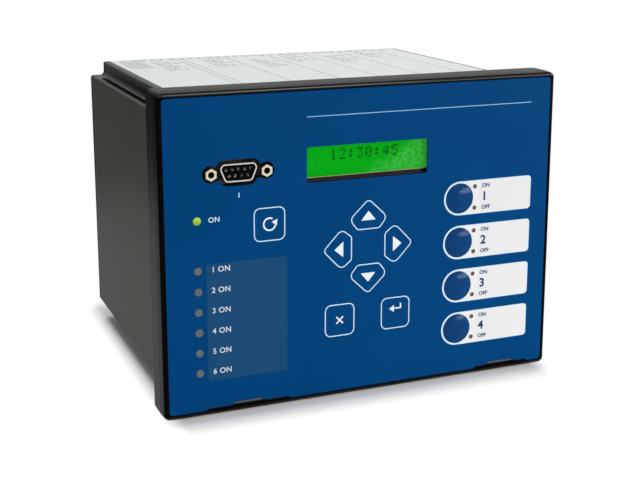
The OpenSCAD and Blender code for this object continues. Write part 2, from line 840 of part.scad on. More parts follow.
module socket_insert(height, depth) difference() {
    translate([0, 0, -depth]) linear_extrude(height + depth) port_outline(-port_skin);
    for (p = contact_places) translate([p[0], p[1], height - contact_depth])
        cylinder(r = contact_r, h = contact_depth + over, $fn = arc_facets);
}

module socket_contacts(height) for (p = contact_places) translate([p[0], p[1], height - contact_depth])
    difference() {
        cylinder(r = contact_r, h = contact_depth - fit_gap, $fn = arc_facets);
        translate([0, 0, 1]) cylinder(r = contact_bore_r, h = contact_depth, $fn = arc_facets);
    }

// Hexagonal screw post from base to top, with its stud through the flange
module socket_post(base, top) {
    difference() {
        translate([0, 0, base]) rotate(30) cylinder(d = post_flats / cos(30), h = top - base, $fn = 6);
        translate([0, 0, base + 1]) cylinder(r = post_bore_r, h = top, $fn = arc_facets);
    }
    translate([0, 0, -2 * flange_t])
        cylinder(r = post_stud_r, h = base + 2 * flange_t + over, $fn = arc_facets);
}

module at_port() on_face(flange_set) translate([port_u, port_rise, 0]) children();

module port_shell() color([0.75, 0.74, 0.72]) at_port() socket_shell(port_height);

module port_insert() color([0.05, 0.05, 0.05]) at_port()
    socket_insert(port_height - fit_gap, board_front - flange_set);

module port_contacts() color([0.85, 0.7, 0.35]) at_port() socket_contacts(port_height - fit_gap);

module port_posts() color([0.8, 0.78, 0.7]) at_port() for (side = [-1, 1])
    translate([side * post_spacing / 2, 0, 0]) socket_post(0, flange_set + post_reach);

module front_board() color([0.1, 0.35, 0.2]) difference() {
    block(0, 0, front_board_w, front_board_h, board_front, board_back);
    standoff_rods(board_front - over, board_back + over, standoff_bore_r);
}

module switch_domes() color([0.75, 0.75, 0.75]) slab(board_front - dome_h, board_front) {
    for (turn = arrow_turns) arrow_place(turn) circle(r = dome_r, $fn = arc_facets);
    for (side = [-1, 1]) translate([pad_u + side * square_key_spacing / 2, square_key_rise])
        circle(r = dome_r, $fn = arc_facets);
    translate([reset_u, reset_key_rise]) circle(r = dome_r, $fn = arc_facets);
    for (v = button_v) translate([button_u, v]) circle(r = dome_r, $fn = arc_facets);
}

module front_screws() color([0.7, 0.7, 0.7]) {
    head_front = sheet_t + pocket_depth + pocket_gap;
    corner_rods(head_front, head_front + head_t, head_r);
    corner_rods(head_front + head_t - over, sleeve_front + screw_length, port_bore_r - screw_slack);
}

module front_board_screws() color([0.7, 0.7, 0.7]) {
    standoff_rods(board_back, board_back + head_t, standoff_r);
    standoff_rods(board_front - screw_length / 2, board_back + over, standoff_bore_r - screw_slack);
}

module top_label() color([0.91, 0.92, 0.92]) {
    label_start = bezel_depth + seal_t + fit_gap;
    label_end = body_depth - 2;
    label_w = sleeve_w - 2 * (notch_w + 3);
    on_board(sleeve_h / 2, 0, label_start, label_w, label_end - label_start, 0.2);
}

module rear_openings() {
    for (u = serial_u) translate([u, serial_v]) {
        port_outline(fit_gap);
        for (side = [-1, 1]) translate([side * post_spacing / 2, 0])
            circle(r = post_stud_r + close_gap, $fn = arc_facets);
    }
    translate([network_u, upper_top + network_h / 2])
        square([network_w + 2 * fit_gap, network_h + 2 * fit_gap], center = true);
    translate([clock_u, clock_v]) circle(r = clock_r + fit_gap, $fn = arc_facets);
    for (b = [[current_u, current_w], [voltage_u, voltage_w]]) translate([b[0], lug_v])
        square([b[1] + 2 * fit_gap, lug_h + 2 * fit_gap], center = true);
    for (b = wire_blocks) translate([b[0], b[1] + wire_h / 2])
        square([b[2] * b[3] + wire_side + 2 * fit_gap, wire_h + 2 * fit_gap], center = true);
    translate([stud_u, stud_v]) circle(r = stud_d / 2 + close_gap, $fn = arc_facets);
}

module rear_panel() color([0.3, 0.31, 0.3]) difference() {
    slab(sleeve_back, body_depth) difference() {
        sleeve_outline();
        rear_openings();
    }
    corner_rods(sleeve_back - over, body_depth + over, screw_hole_r);
}

module rear_screws() color([0.7, 0.7, 0.7]) {
    corner_rods(body_depth, body_depth + head_t, head_r);
    corner_rods(sleeve_back - screw_length, body_depth + over, port_bore_r - screw_slack);
}

module inner_board(rise) color([0.1, 0.35, 0.2])
    on_board(rise, 0, board_start, 2 * board_half, board_end - board_start, board_t);

module communication_board() inner_board(upper_board_rise);
module relay_board() inner_board(middle_board_rise);
module measuring_board() inner_board(lower_board_rise);

module board_connectors() color([0.1, 0.1, 0.1]) for (top = [upper_top, middle_top, lower_top])
    on_board(top, 0, board_back, connector_w, connector_l, connector_h);

module processor_chips() color([0.12, 0.12, 0.12]) {
    on_board(upper_top, 0, chip_start, processor_w, processor_w, processor_h);
    for (side = [-1, 1]) {
        on_board(upper_top, side * memory_u, chip_start, memory_w, memory_l, memory_h);
        for (k = [1, 2])
            on_board(upper_top, side * k * driver_pitch, driver_start, driver_w, driver_l, driver_h);
    }
}

module clock_battery() color([0.75, 0.75, 0.78])
    translate([board_half - battery_inset, face_y + battery_start, mid_z + upper_top])
    cylinder(r = battery_r, h = battery_t, $fn = arc_facets);

module output_relays() color([0.1, 0.1, 0.12]) for (i = [0:relay_count - 1])
    on_board(middle_top, part_inset - board_half + i * relay_pitch, relay_start, relay_w, relay_l, relay_h);

// Laminated core with its coil through it
module power_transformer() color([0.35, 0.3, 0.2]) {
    on_board(middle_top, board_half - core_inset, core_start, core_w, core_l, core_h);
    on_board(middle_top, board_half - core_inset, core_start + (core_l - coil_l) / 2, coil_w, coil_l, coil_h);
}

module filter_capacitors() color([0.1, 0.12, 0.3]) for (i = [0:capacitor_count - 1])
    translate([part_inset + capacitor_r - board_half + i * capacitor_pitch, face_y + capacitor_start,
        mid_z + middle_top]) cylinder(r = capacitor_r, h = capacitor_h, $fn = arc_facets);

module current_transformers() color([0.1, 0.1, 0.1]) for (i = [-1:1])
    on_board(lower_top, current_u + i * 2 * lug_pitch, current_core_start, current_core_w,
        current_core_l, current_core_h);

module voltage_transformers() color([0.5, 0.4, 0.1]) for (i = [0:2])
    on_board(lower_top, part_inset + capacitor_r - board_half + i * voltage_core_pitch,
        voltage_core_start, voltage_core_w, voltage_core_l, voltage_core_h);

module at_serial() for (u = serial_u) on_back(u, serial_v, sleeve_back) children();

module serial_shells() color([0.75, 0.74, 0.72]) at_serial() socket_shell(serial_height);

module serial_inserts() color([0.05, 0.05, 0.05]) at_serial() {
    body_w = post_spacing - 2 * post_stud_r - 1;
    socket_insert(serial_height - fit_gap, 2 * flange_t);
    translate([-body_w / 2, -flange_h / 2, -serial_depth])
        cube([body_w, flange_h, serial_depth - flange_t]);
}

module serial_posts() color([0.8, 0.78, 0.7]) at_serial() for (side = [-1, 1])
    translate([side * post_spacing / 2, 0, 0]) socket_post(rear_panel_t, rear_panel_t + serial_reach);

// Network jack with its plug opening and the latch's notch below it
module network_jack() color([0.6, 0.6, 0.62]) on_back(network_u, upper_top, body_depth + over)
    difference() {
        translate([-network_w / 2, 0, -network_depth]) cube([network_w, network_h, network_depth]);
        translate([-plug_w / 2, plug_rise, -plug_depth]) cube([plug_w, plug_h, plug_depth + over]);
        translate([-latch_w / 2, latch_rise, -plug_depth]) cube([latch_w, latch_h, plug_depth + over]);
    }

// Bayonet socket with its two locking pins
module clock_socket() color([0.8, 0.78, 0.72]) on_back(clock_u, clock_v, sleeve_back) {
    body_h = clock_v - upper_top;
    reach = rear_panel_t + clock_reach;
    translate([-body_h, -body_h, -clock_depth]) cube([2 * body_h, 2 * body_h, clock_depth]);
    difference() {
        translate([0, 0, -over]) cylinder(r = clock_r, h = reach + over, $fn = arc_facets);
        translate([0, 0, rear_panel_t]) cylinder(r = clock_bore_r, h = reach, $fn = arc_facets);
    }
    translate([0, 0, rear_panel_t - over])
        cylinder(r = clock_core_r, h = reach - rear_panel_t, $fn = arc_facets);
    for (side = [-1, 1]) translate([side * (clock_bore_r + clock_r) / 2, 0, reach - clock_pin_drop])
        rotate([0, side * 90, 0]) cylinder(r = clock_pin_r, h = clock_pin_l, $fn = arc_facets);
}

// Barrier block for ring lugs: a base with a bore for each screw, and fins between them
module lug_block(u, w, count) {
    difference() {
        on_board(lower_top, u, block_start, w,
            body_depth + lug_base - block_start, lug_h);
        for (x = ways(count, lug_pitch))
            rod(u + x, lug_v, body_depth + lug_base - screw_length, body_depth + lug_base + over, lug_bore_r);
    }
    for (i = [0:count]) on_board(lower_top, u + (i - count / 2) * lug_pitch, body_depth + lug_base - over,
        fin_t, rear_reach - lug_base + over, lug_h);
}

module lug_terminals() color([0.07, 0.07, 0.07]) {
    lug_block(current_u, current_w, current_count);
    lug_block(voltage_u, voltage_w, voltage_count);
}

module lug_screws() color([0.75, 0.73, 0.65]) for (u = lug_u) {
    rod(u, lug_v, body_depth + lug_base, body_depth + lug_base + 2.6, lug_screw_r);
    rod(u, lug_v, body_depth + lug_base - screw_length + 1, body_depth + lug_base + over,
        lug_bore_r - screw_slack);
}

// Wire block: an entry for every wire below, and the bore of its clamping screw above
module wire_terminals() color([0.1, 0.35, 0.15]) for (b = wire_blocks) difference() {
    on_board(b[1], b[0], block_start, b[2] * b[3] + wire_side,
        body_depth + rear_reach - block_start, wire_h);
    for (x = ways(b[2], b[3])) {
        block(b[0] + x, b[1] + wire_h / 3.5, wire_hole, wire_hole,
            body_depth + rear_reach - wire_hole_depth, body_depth + rear_reach + over);
        rod(b[0] + x, b[1] + wire_h * 0.75, body_depth + rear_reach - wire_screw_l,
            body_depth + rear_reach + over, wire_screw_r + screw_slack);
    }
}

module wire_screws() color([0.75, 0.73, 0.65]) for (b = wire_blocks, x = ways(b[2], b[3]))
    rod(b[0] + x, b[1] + wire_h * 0.75, body_depth + rear_reach - wire_screw_l,
        body_depth + rear_reach - wire_screw_drop, wire_screw_r);

module earth_stud() color([0.8, 0.7, 0.4]) {
    rod(stud_u, stud_v, sleeve_back - stud_head_t, sleeve_back, stud_d);
    rod(stud_u, stud_v, sleeve_back - over, body_depth + rear_reach, stud_d / 2);
}

module earth_nuts() color([0.75, 0.73, 0.65]) for (i = [0, 1])
    slab(body_depth + i * (nut_t + close_gap), body_depth + i * (nut_t + close_gap) + nut_t)
    translate([stud_u, stud_v]) difference() {
        rotate(30) circle(d = nut_flats / cos(30), $fn = 6);
        circle(r = stud_d / 2 + screw_slack, $fn = arc_facets);
    }

front_housing();
front_rim();
panel_seal();
face_sheet();
label_windows();
lamp_label_card();
button_label_card();
display_window();
display_glass();
display_frame();
display_board();
key_up();
key_down();
key_left();
key_right();
key_cancel();
key_accept();
key_reset();
button_1();
button_2();
button_3();
button_4();
power_lamp();
status_lamps();
button_lamps();
port_shell();
port_insert();
port_contacts();
port_posts();
front_board();
switch_domes();
front_screws();
front_board_screws();
sleeve();
top_label();
rear_panel();
rear_screws();
communication_board();
relay_board();
measuring_board();
board_connectors();
processor_chips();
clock_battery();
output_relays();
power_transformer();
filter_capacitors();
current_transformers();
voltage_transformers();
serial_shells();
serial_inserts();
serial_posts();
network_jack();
clock_socket();
lug_terminals();
lug_screws();
wire_terminals();
wire_screws();
earth_stud();
earth_nuts();
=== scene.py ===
"""Dresses the panel controller: its printed face, its display, its finishes and its studio."""

import math

import bmesh
import bpy
from mathutils import Matrix, Vector


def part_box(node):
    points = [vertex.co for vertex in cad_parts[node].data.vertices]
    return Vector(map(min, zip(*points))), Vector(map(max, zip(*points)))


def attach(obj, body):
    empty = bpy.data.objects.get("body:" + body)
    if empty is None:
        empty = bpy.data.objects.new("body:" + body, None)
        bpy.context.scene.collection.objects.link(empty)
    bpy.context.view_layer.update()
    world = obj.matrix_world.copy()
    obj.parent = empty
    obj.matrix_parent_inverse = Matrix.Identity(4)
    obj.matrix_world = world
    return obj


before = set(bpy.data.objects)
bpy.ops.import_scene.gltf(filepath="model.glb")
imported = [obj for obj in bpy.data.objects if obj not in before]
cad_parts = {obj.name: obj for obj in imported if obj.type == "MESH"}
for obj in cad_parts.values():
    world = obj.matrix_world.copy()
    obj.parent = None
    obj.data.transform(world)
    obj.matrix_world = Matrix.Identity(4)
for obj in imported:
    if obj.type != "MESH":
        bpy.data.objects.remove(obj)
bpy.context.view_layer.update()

bl_info = {
    "name": "Panel controller dressing",
    "version": (1, 0, 0),
    "blender": (4, 5, 0),
    "location": "View3D > Sidebar > Controller",
    "description": "Prints the face of a panel controller, finishes its parts and sets its studio",
    "category": "Object",
}

MM = 0.001
SHEET_LOW, SHEET_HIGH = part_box("face_sheet")
FACE_Y = SHEET_LOW[1]
MID_Z = (SHEET_LOW[2] + SHEET_HIGH[2]) / 2


def height_of(z):
    """A height in metres as millimetres above the face's middle."""
    return (z - MID_Z) / MM


def centre(node):
    """Middle of a CAD node on the face, in millimetres from the face's middle."""
    low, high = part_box(node)
    return (low[0] + high[0]) / 2 / MM, height_of((low[2] + high[2]) / 2)


def front_of(node):
    """How far a CAD node's front lies out from the face, in millimetres: below zero for behind."""
    return -(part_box(node)[0][1] - FACE_Y) / MM


# ---- placing


def on_face(u=0.0, v=0.0, out=0.0, turn=0.0):
    """Takes a drawing in millimetres to the face, out in front of it and turned in its plane."""
    return (
        Matrix.Translation((0.0, FACE_Y, MID_Z))
        @ Matrix.Rotation(math.pi / 2, 4, "X")
        @ Matrix.Scale(MM, 4)
        @ Matrix.Translation((u, v, out))
        @ Matrix.Rotation(turn, 4, "Z")
    )


def on_top():
    """Takes a drawing in millimetres to the top label, read from the front."""
    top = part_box("top_label")[1][2]
    return Matrix.Translation((0.0, FACE_Y, top)) @ Matrix.Scale(MM, 4)


def on_back(u, v):
    """Takes a drawing in millimetres to the rear panel, read from behind."""
    return (
        Matrix.Translation((0.0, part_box("rear_panel")[1][1], MID_Z))
        @ Matrix.Rotation(math.pi, 4, "Z")
        @ Matrix.Rotation(math.pi / 2, 4, "X")
        @ Matrix.Scale(MM, 4)
        @ Matrix.Translation((u, v, 0.0))
    )


def moved(x, y, z=0.0):
    """A shift within a drawing, in millimetres."""
    return Matrix.Translation((x, y, z))


def middles(node):
    """Middles of a node's separate solids on the rear panel, in millimetres for on_back."""
    bm = bmesh.new()
    bm.from_mesh(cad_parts[node].data)
    bmesh.ops.remove_doubles(bm, verts=bm.verts, dist=1e-6)
    left = set(bm.verts)
    found = set()
    for first in bm.verts:
        if first not in left:
            continue
        left.discard(first)
        solid = [first]
        for vert in solid:
            for other in (edge.other_vert(vert) for edge in vert.link_edges):
                if other in left:
                    left.discard(other)
                    solid.append(other)
        xs = [vert.co.x for vert in solid]
        zs = [vert.co.z - MID_Z for vert in solid]
        middle = -(min(xs) + max(xs)) / 2 / MM, (min(zs) + max(zs)) / 2 / MM
        found.add((round(middle[0], 1), round(middle[1], 1)))
    bm.free()
    return found


# ---- outlines


def taut_loop(circles, steps=10):
    """Points of the outline pulled tight round circles (x, y, radius) listed anticlockwise."""
    normals = []
    for (ax, ay, ar), (bx, by, br) in zip(circles, circles[1:] + circles[:1]):
        dx, dy = bx - ax, by - ay
        normals.append(math.atan2(dy, dx) - math.acos((ar - br) / math.hypot(dx, dy)))
    points = []
    for index, (x, y, radius) in enumerate(circles):
        start = normals[index - 1]
        turn = (normals[index] - start) % math.tau
        for step in range(steps + 1):
            angle = start + turn * step / steps
            points.append((x + radius * math.cos(angle), y + radius * math.sin(angle)))
    return points


def grown(circles, by):
    """The same circles with larger radii, whose outline lies further out."""
    return [(x, y, radius + by) for x, y, radius in circles]


def box_circles(width, height, radius):
    """The four corner circles of a rounded box round the origin."""
    a, b = width / 2 - radius, height / 2 - radius
    return [(-a, -b, radius), (a, -b, radius), (a, b, radius), (-a, b, radius)]


def circle_loop(x, y, radius, steps=40):
    """Points of a circle."""
    return [
        (x + radius * math.cos(math.tau * k / steps), y + radius * math.sin(math.tau * k / steps))
        for k in range(steps)
    ]


def bar_loop(x0, y0, x1, y1):
    """Corners of a bar between two opposite corners."""
    return [(x0, y0), (x1, y0), (x1, y1), (x0, y1)]


# ---- pieces

CAPITALS = 0.73  # height of the built-in characters' capitals, as a share of the text size
WELD = 1e-7


def placed(name, data):
    """Puts a new object in the scene."""
    thing = bpy.data.objects.new(name, data)
    bpy.context.scene.collection.objects.link(thing)
    return thing


def solid_of(name, bm, finish):
    """Puts a bmesh in the scene, with a finish."""
    mesh = bpy.data.meshes.new(name)
    bm.to_mesh(mesh)
    bm.free()
    mesh.materials.append(finish.material)
    return placed(name, mesh)


def mesh_of(curve):
    """Turns a flat curve or text into a mesh, and removes the curve."""
    holder = placed(curve.name, curve)
    bpy.context.view_layer.update()
    filled = holder.evaluated_get(bpy.context.evaluated_depsgraph_get())
    mesh = bpy.data.meshes.new_from_object(filled)
    bpy.data.objects.remove(holder)
    return mesh


class Drawing:
    """Flat shapes, in millimetres, that become one piece."""

    def __init__(self, thickness):
        self.bm = bmesh.new()
        self.thickness = thickness

    def _take(self, curve, matrix):
        curve.dimensions = "2D"
        curve.fill_mode = "BOTH"
        curve.extrude = self.thickness / 2
        mesh = mesh_of(curve)
        mesh.transform(matrix @ moved(0, 0, self.thickness / 2))
        self.bm.from_mesh(mesh)
        bpy.data.meshes.remove(mesh)

    def shape(self, loops, matrix):
        """A filled outline, the first loop outside and the others its holes."""
        curve = bpy.data.curves.new("outline", "CURVE")
        for loop in loops:
            spline = curve.splines.new("POLY")
            spline.points.add(len(loop) - 1)
            for point, (x, y) in zip(spline.points, loop):
                point.co = (x, y, 0.0, 1.0)
            spline.use_cyclic_u = True
        self._take(curve, matrix)

    def text(self, body, height, matrix, weight=0.0, align="LEFT", spread=1.0):
        """Plain characters whose capitals have the given height."""
        curve = bpy.data.curves.new("characters", "FONT")
        curve.body = body
        curve.size = height / CAPITALS
        curve.offset = weight
        curve.align_x = align
        curve.align_y = "CENTER"
        curve.space_character = spread
        curve.resolution_u = 4
        self._take(curve, matrix)

    def piece(self, name, body, slot, finish):
        """Closes the drawing and makes it a piece."""
        bmesh.ops.remove_doubles(self.bm, verts=self.bm.verts, dist=WELD)
        bmesh.ops.recalc_face_normals(self.bm, faces=self.bm.faces)
        return add_piece(name, self.bm, body, finish)


def add_piece(name, bm, body, finish):
    """Makes a piece of a bmesh, lets it ride on a body and gives it a finish."""
    piece = solid_of(name, bm, finish)
    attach(piece, body)
    return piece


def dress(finish, *nodes):
    """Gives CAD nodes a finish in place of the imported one."""
    for node in nodes:
        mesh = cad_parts[node].data
        if not mesh.materials:
            mesh.materials.append(finish.material)
        for index in range(len(mesh.materials)):
            mesh.materials[index] = finish.material


# ---- materials


def linear(colour):
    """The shader's colour for a colour as a screen shows it, 0 to 255."""
    out = []
    for value in colour:
        c = value / 255.0
        out.append(c / 12.92 if c <= 0.04045 else ((c + 0.055) / 1.055) ** 2.4)
    return tuple(out) + (1.0,)


def joined(operation):
    """A method that joins a signal with a number or another signal through one Math node."""
    return lambda self, other: self.math(operation, other)


class Signal:
    """A socket that Python's operators extend with Math nodes."""

    def __init__(self, nodes, socket):
        self.nodes = nodes
        self.socket = socket

    def math(self, operation, other, clamp=False, swapped=False):
        """The signal that a Math node makes of this one and another value."""
        settings = {"operation": operation, "use_clamp": clamp}
        pair = {0: other, 1: self} if swapped else {0: self, 1: other}
        return Signal(self.nodes, self.nodes.node("ShaderNodeMath", settings, pair).outputs[0])

    __add__ = __radd__ = joined("ADD")
    __sub__ = joined("SUBTRACT")
    __mul__ = __rmul__ = joined("MULTIPLY")
    __truediv__ = joined("DIVIDE")
    above = joined("GREATER_THAN")
    below = joined("LESS_THAN")
    repeat = joined("FLOORED_MODULO")  # distance into the current cell of a row of equal cells

    def __rsub__(self, other):
        return self.math("SUBTRACT", other, swapped=True)

    def __abs__(self):
        return self.math("ABSOLUTE", 0.0)

    def held(self):
        """The signal kept between zero and one."""
        return self.math("MULTIPLY", 1.0, clamp=True)


class Nodes:
    """The nodes of a material or of the room."""

    def __init__(self, tree):
        self.tree = tree

    def node(self, kind, settings=None, inputs=None):
        """A node of any kind, its settings first and then its sockets' values or links."""
        node = self.tree.nodes.new(kind)
        for key, value in (settings or {}).items():
            setattr(node, key, value)
        for key, value in (inputs or {}).items():
            self.feed(node.inputs[key], value)
        return node

    def feed(self, socket, value):
        """Links a signal or a socket to a socket, or sets its value."""
        if isinstance(value, Signal):
            value = value.socket
        if isinstance(value, bpy.types.NodeSocket):
            self.tree.links.new(value, socket)
        else:
            socket.default_value = value

    def seen(self):
        """One on the rays that the eye follows: straight, mirrored or through glass."""
        path = self.node("ShaderNodeLightPath")
        rays = ("Is Camera Ray", "Is Glossy Ray", "Is Transmission Ray")
        return sum(Signal(self, path.outputs[ray]) for ray in rays).held()


class Finish(Nodes):
    """A node material on one Principled shader."""

    def __init__(self, name):
        self.material = bpy.data.materials.new(name)
        self.material.use_nodes = True
        super().__init__(self.material.node_tree)
        self.shader = next(n for n in self.tree.nodes if n.type == "BSDF_PRINCIPLED")
        self.output = next(n for n in self.tree.nodes if n.type == "OUTPUT_MATERIAL")
        self.coordinates = self.tree.nodes.new("ShaderNodeTexCoord").outputs["Object"]

    def set(self, **values):
        """Sets sockets of the shader; underscores stand for spaces."""
        for key, value in values.items():
            self.feed(self.shader.inputs[key.replace("_", " ")], value)
        return self

    def noise(self, size_mm, detail=2.0, rough=0.5, stretch=(1.0, 1.0, 1.0)):
        """Noise whose lumps are about size_mm across, longer where stretch is larger."""
        scale = tuple(1.0 / (size_mm * MM * s) for s in stretch)
        inputs = {"Vector": self.coordinates, "Scale": scale}
        place = self.node("ShaderNodeMapping", {"vector_type": "POINT"}, inputs)
        texture = self.node(
            "ShaderNodeTexNoise",
            {"noise_dimensions": "3D"},
            {"Vector": place.outputs[0], "Scale": 1.0, "Detail": detail, "Roughness": rough},
        )
        return Signal(self, texture.outputs["Fac"])

    def axes(self):
        """The Object coordinates in millimetres, as three signals."""
        split = self.node("ShaderNodeSeparateXYZ", {}, {0: self.coordinates})
        return [Signal(self, split.outputs[k]) * (1.0 / MM) for k in range(3)]

    def from_middle(self, node):
        """How far across and up from a CAD node's middle, in millimetres, and the y axis."""
        low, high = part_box(node)
        x, y, z = self.axes()
        return x - (low[0] + high[0]) / 2 / MM, z - (low[2] + high[2]) / 2 / MM, y

    def mix(self, factor, first, second):
        """A colour between two others, each from a socket or as a screen shows it."""
        settings = {"data_type": "RGBA", "clamp_factor": True}
        first, second = (linear(c) if isinstance(c, tuple) else c for c in (first, second))
        return self.node("ShaderNodeMix", settings, {0: factor, 6: first, 7: second}).outputs[2]

    def tones(self, factor, colour, down, up=0):
        """A colour that wanders between a darker and a lighter tone of itself."""
        darker, lighter = (max(0, c - down) for c in colour), (c + up for c in colour)
        return self.mix(factor, tuple(darker), tuple(lighter))

    def bump(self, height, depth_mm):
        """Raises the surface by up to depth_mm where the height signal is one."""
        node = self.node(
            "ShaderNodeBump", {}, {"Strength": 1.0, "Distance": depth_mm * MM, "Height": height}
        )
        return self.set(Normal=node.outputs[0])

    def plate(self, colour, rough, dull, plain, metal=None, lump=1.6, down=14):
        """Plates the surface, but for a plain mask's part and, within it, a metal mask's part."""
        patches = self.noise(lump, 3.0, 0.6)
        base = self.mix(plain[0], self.tones(patches, colour, down), plain[1])
        metallic = 1.0 - plain[0]
        if metal:
            base = self.mix(metal[0], base, metal[1])
            metallic = metallic + metal[0]
        self.set(Base_Color=base, Metallic=metallic, Roughness=rough + patches * 0.1 + dull)
        return self.bump(patches, 0.004)

    def blend(self, factor, first, second):
        """Puts a mix of two shaders on the surface."""
        node = self.node("ShaderNodeMixShader", {}, {0: factor, 1: first, 2: second})
        self.tree.links.new(node.outputs[0], self.output.inputs["Surface"])
        return self

    def see_through(self, share):
        """Lets light through all but the given share of the surface."""
        clear = self.node("ShaderNodeBsdfTransparent", {}, {"Color": (1.0, 1.0, 1.0, 1.0)})
        return self.blend(share, clear.outputs[0], self.shader.outputs[0])


def moulded(name, colour, rough=0.55, grain=0.45, depth=0.02, spread=6, shine=1.2):
    """Moulded plastic with a fine eroded texture and faint unevenness."""
    finish = Finish(name)
    cloud = finish.noise(14.0, 3.0)
    fine = finish.noise(grain, 2.0, 0.6)
    finish.set(
        Base_Color=finish.tones(cloud, colour, spread, spread),
        Roughness=rough - 0.08 + fine * 0.16,
        IOR=shine,
    )
    return finish.bump(fine, depth)


def coated_metal(name, colour):
    """A metal extrusion with a satin coat: fine orange peel and faint drawing lines."""
    finish = Finish(name)
    peel = finish.noise(0.9, 2.0)
    lines = finish.noise(0.8, 2.0, 0.5, (1.0, 60.0, 1.0))
    cloud = finish.noise(30.0, 2.0)
    finish.set(
        Base_Color=finish.tones(cloud * 0.85 + lines * 0.15, colour, 4, 4),
        Roughness=0.39 + peel * 0.06,
        IOR=1.07,
    )
    return finish.bump(peel * 0.85 + lines * 0.15, 0.006)


def plated(name, colour, rough=0.25):
    """Plated metal, a little duller in patches."""
    finish = Finish(name)
    patches = finish.noise(1.6, 3.0, 0.6)
    scratches = finish.noise(0.25, 2.0, 0.6, (1.0, 6.0, 1.0))
    finish.set(
        Base_Color=finish.tones(patches, colour, 14),
        Metallic=1.0,
        Roughness=rough + patches * 0.12,
    )
    return finish.bump(scratches, 0.004)


def card(name, colour, end):
    """Printed card whose bare lower end is grey."""
    finish = Finish(name)
    z = finish.axes()[2]
    cloud = finish.noise(12.0, 2.0)
    fibre = finish.noise(0.4, 2.0, 0.6, (3.0, 1.0, 1.0))
    grey = finish.mix(fibre, (74, 76, 78), (104, 106, 106))
    print_or_bare = finish.mix(z.below(end), finish.tones(cloud, colour, 3), grey)
    finish.set(Base_Color=print_or_bare, Roughness=0.5, IOR=1.1)
    return finish.bump(fibre, 0.004)


def printed_sheet(name, colour, rough=0.42, spread=3):
    """Satin plastic sheet, printed on its back."""
    finish = Finish(name)
    cloud = finish.noise(40.0, 2.0)
    fine = finish.noise(0.12, 1.0)
    finish.set(
        Base_Color=finish.tones(cloud, colour, spread, spread),
        Roughness=rough - 0.04 + fine * 0.08,
        IOR=1.08,
    )
    return finish.bump(fine, 0.003)


def ink(name, colour, rough=0.5):
    """Printing ink, slightly uneven."""
    finish = Finish(name)
    cloud = finish.noise(1.5, 2.0)
    finish.set(Base_Color=finish.tones(cloud, colour, 6), Roughness=rough, IOR=1.1)
    return finish.bump(finish.noise(0.1, 1.0), 0.002)


def clear_sheet(name, tint, rough):
    """A clear pane: mostly see-through, with its own gloss."""
    finish = Finish(name)
    smear = finish.noise(20.0, 2.0)
    finish.set(Base_Color=linear(tint), Roughness=rough + smear * 0.05, Specular_IOR_Level=0.4)
    return finish.see_through(0.03)


def window_film(name, left, right):
    """Matte film that shows the card under it softly, blue at left and white at right."""
    finish = Finish(name)
    x = finish.axes()[0]
    cloud = finish.noise(25.0, 2.0)
    fine = finish.noise(0.15, 1.0)
    blue = finish.tones(cloud, left, 3, 3)
    white = finish.tones(cloud, right, 2, 2)
    film = finish.mix(x.above(0.0), blue, white)
    finish.set(Base_Color=film, Roughness=0.45 + fine * 0.06, IOR=1.12)
    return finish.see_through(0.94)


LENS_REACH = 1.9  # from a lens's middle to its edge


def lens(name, colour, glow=0.0, node=None):
    """A lamp's lens, with a painted highlight that makes it paler and yellower towards its top
    where its node is given.
    """
    finish = Finish(name)
    cloud = finish.noise(1.2, 2.0)
    depth, shade = cloud, 0.8
    if node:
        across, up, _ = finish.from_middle(node)
        # painted highlight: lighter towards the top and a little towards the right
        highlight_slope = up / LENS_REACH * 0.5 + across / LENS_REACH * 0.15
        depth = ((highlight_slope + 0.45) * 0.85 + cloud * 0.15).held()
        shade = 0.56
    base = finish.mix(depth, tuple(c * shade for c in colour), colour)
    finish.set(Base_Color=base, Roughness=0.25, Coat_Weight=0.3, Coat_Roughness=0.1)
    if glow:
        finish.set(Emission_Color=base, Emission_Strength=glow)
    return finish.bump(cloud, 0.01)


def board(name):
    """Solder mask with faint tracks."""
    finish = Finish(name)
    x, y, _ = finish.axes()
    track = (x.repeat(2.54).below(0.5) + y.repeat(5.08).below(0.5)).held()
    cloud = finish.noise(3.0, 2.0)
    mask = finish.mix(track * 0.6 + cloud * 0.2, (14, 70, 38), (40, 110, 66))
    finish.set(Base_Color=mask, Roughness=0.4)
    return finish.bump(track, 0.03)


def liquid_crystal(name, low, high):
    """The backlit green glass: brighter towards one end, with the faint cells of its characters."""
    finish = Finish(name)
    x, _, z = finish.axes()
    along = (x - low[0] / MM) / ((high[0] - low[0]) / MM)
    cloud = finish.noise(7.0, 3.0, 0.6)
    fine = finish.noise(1.3, 2.0)
    cell = ((x + 50.0).repeat(3.55).below(2.95) * (z + 50.0).repeat(5.55).below(4.85)).held()
    up = (z - low[2] / MM) / ((high[2] - low[2]) / MM)
    patch = ((along - up * 0.4 - 0.55 + cloud * 0.3) * 6.0).held()
    level = (patch * (fine * 1.8 - 0.4) + cloud * 0.1 - cell * 0.05).held()
    glow = finish.mix(level, (0, 161, 14), (68, 180, 74))
    shade = finish.mix(0.45, glow, (0, 0, 0))
    finish.set(Base_Color=shade, Roughness=0.4, IOR=1.06)
    finish.set(Emission_Color=glow, Emission_Strength=0.62)
    return finish.bump(cell, 0.01)


# ---- settings


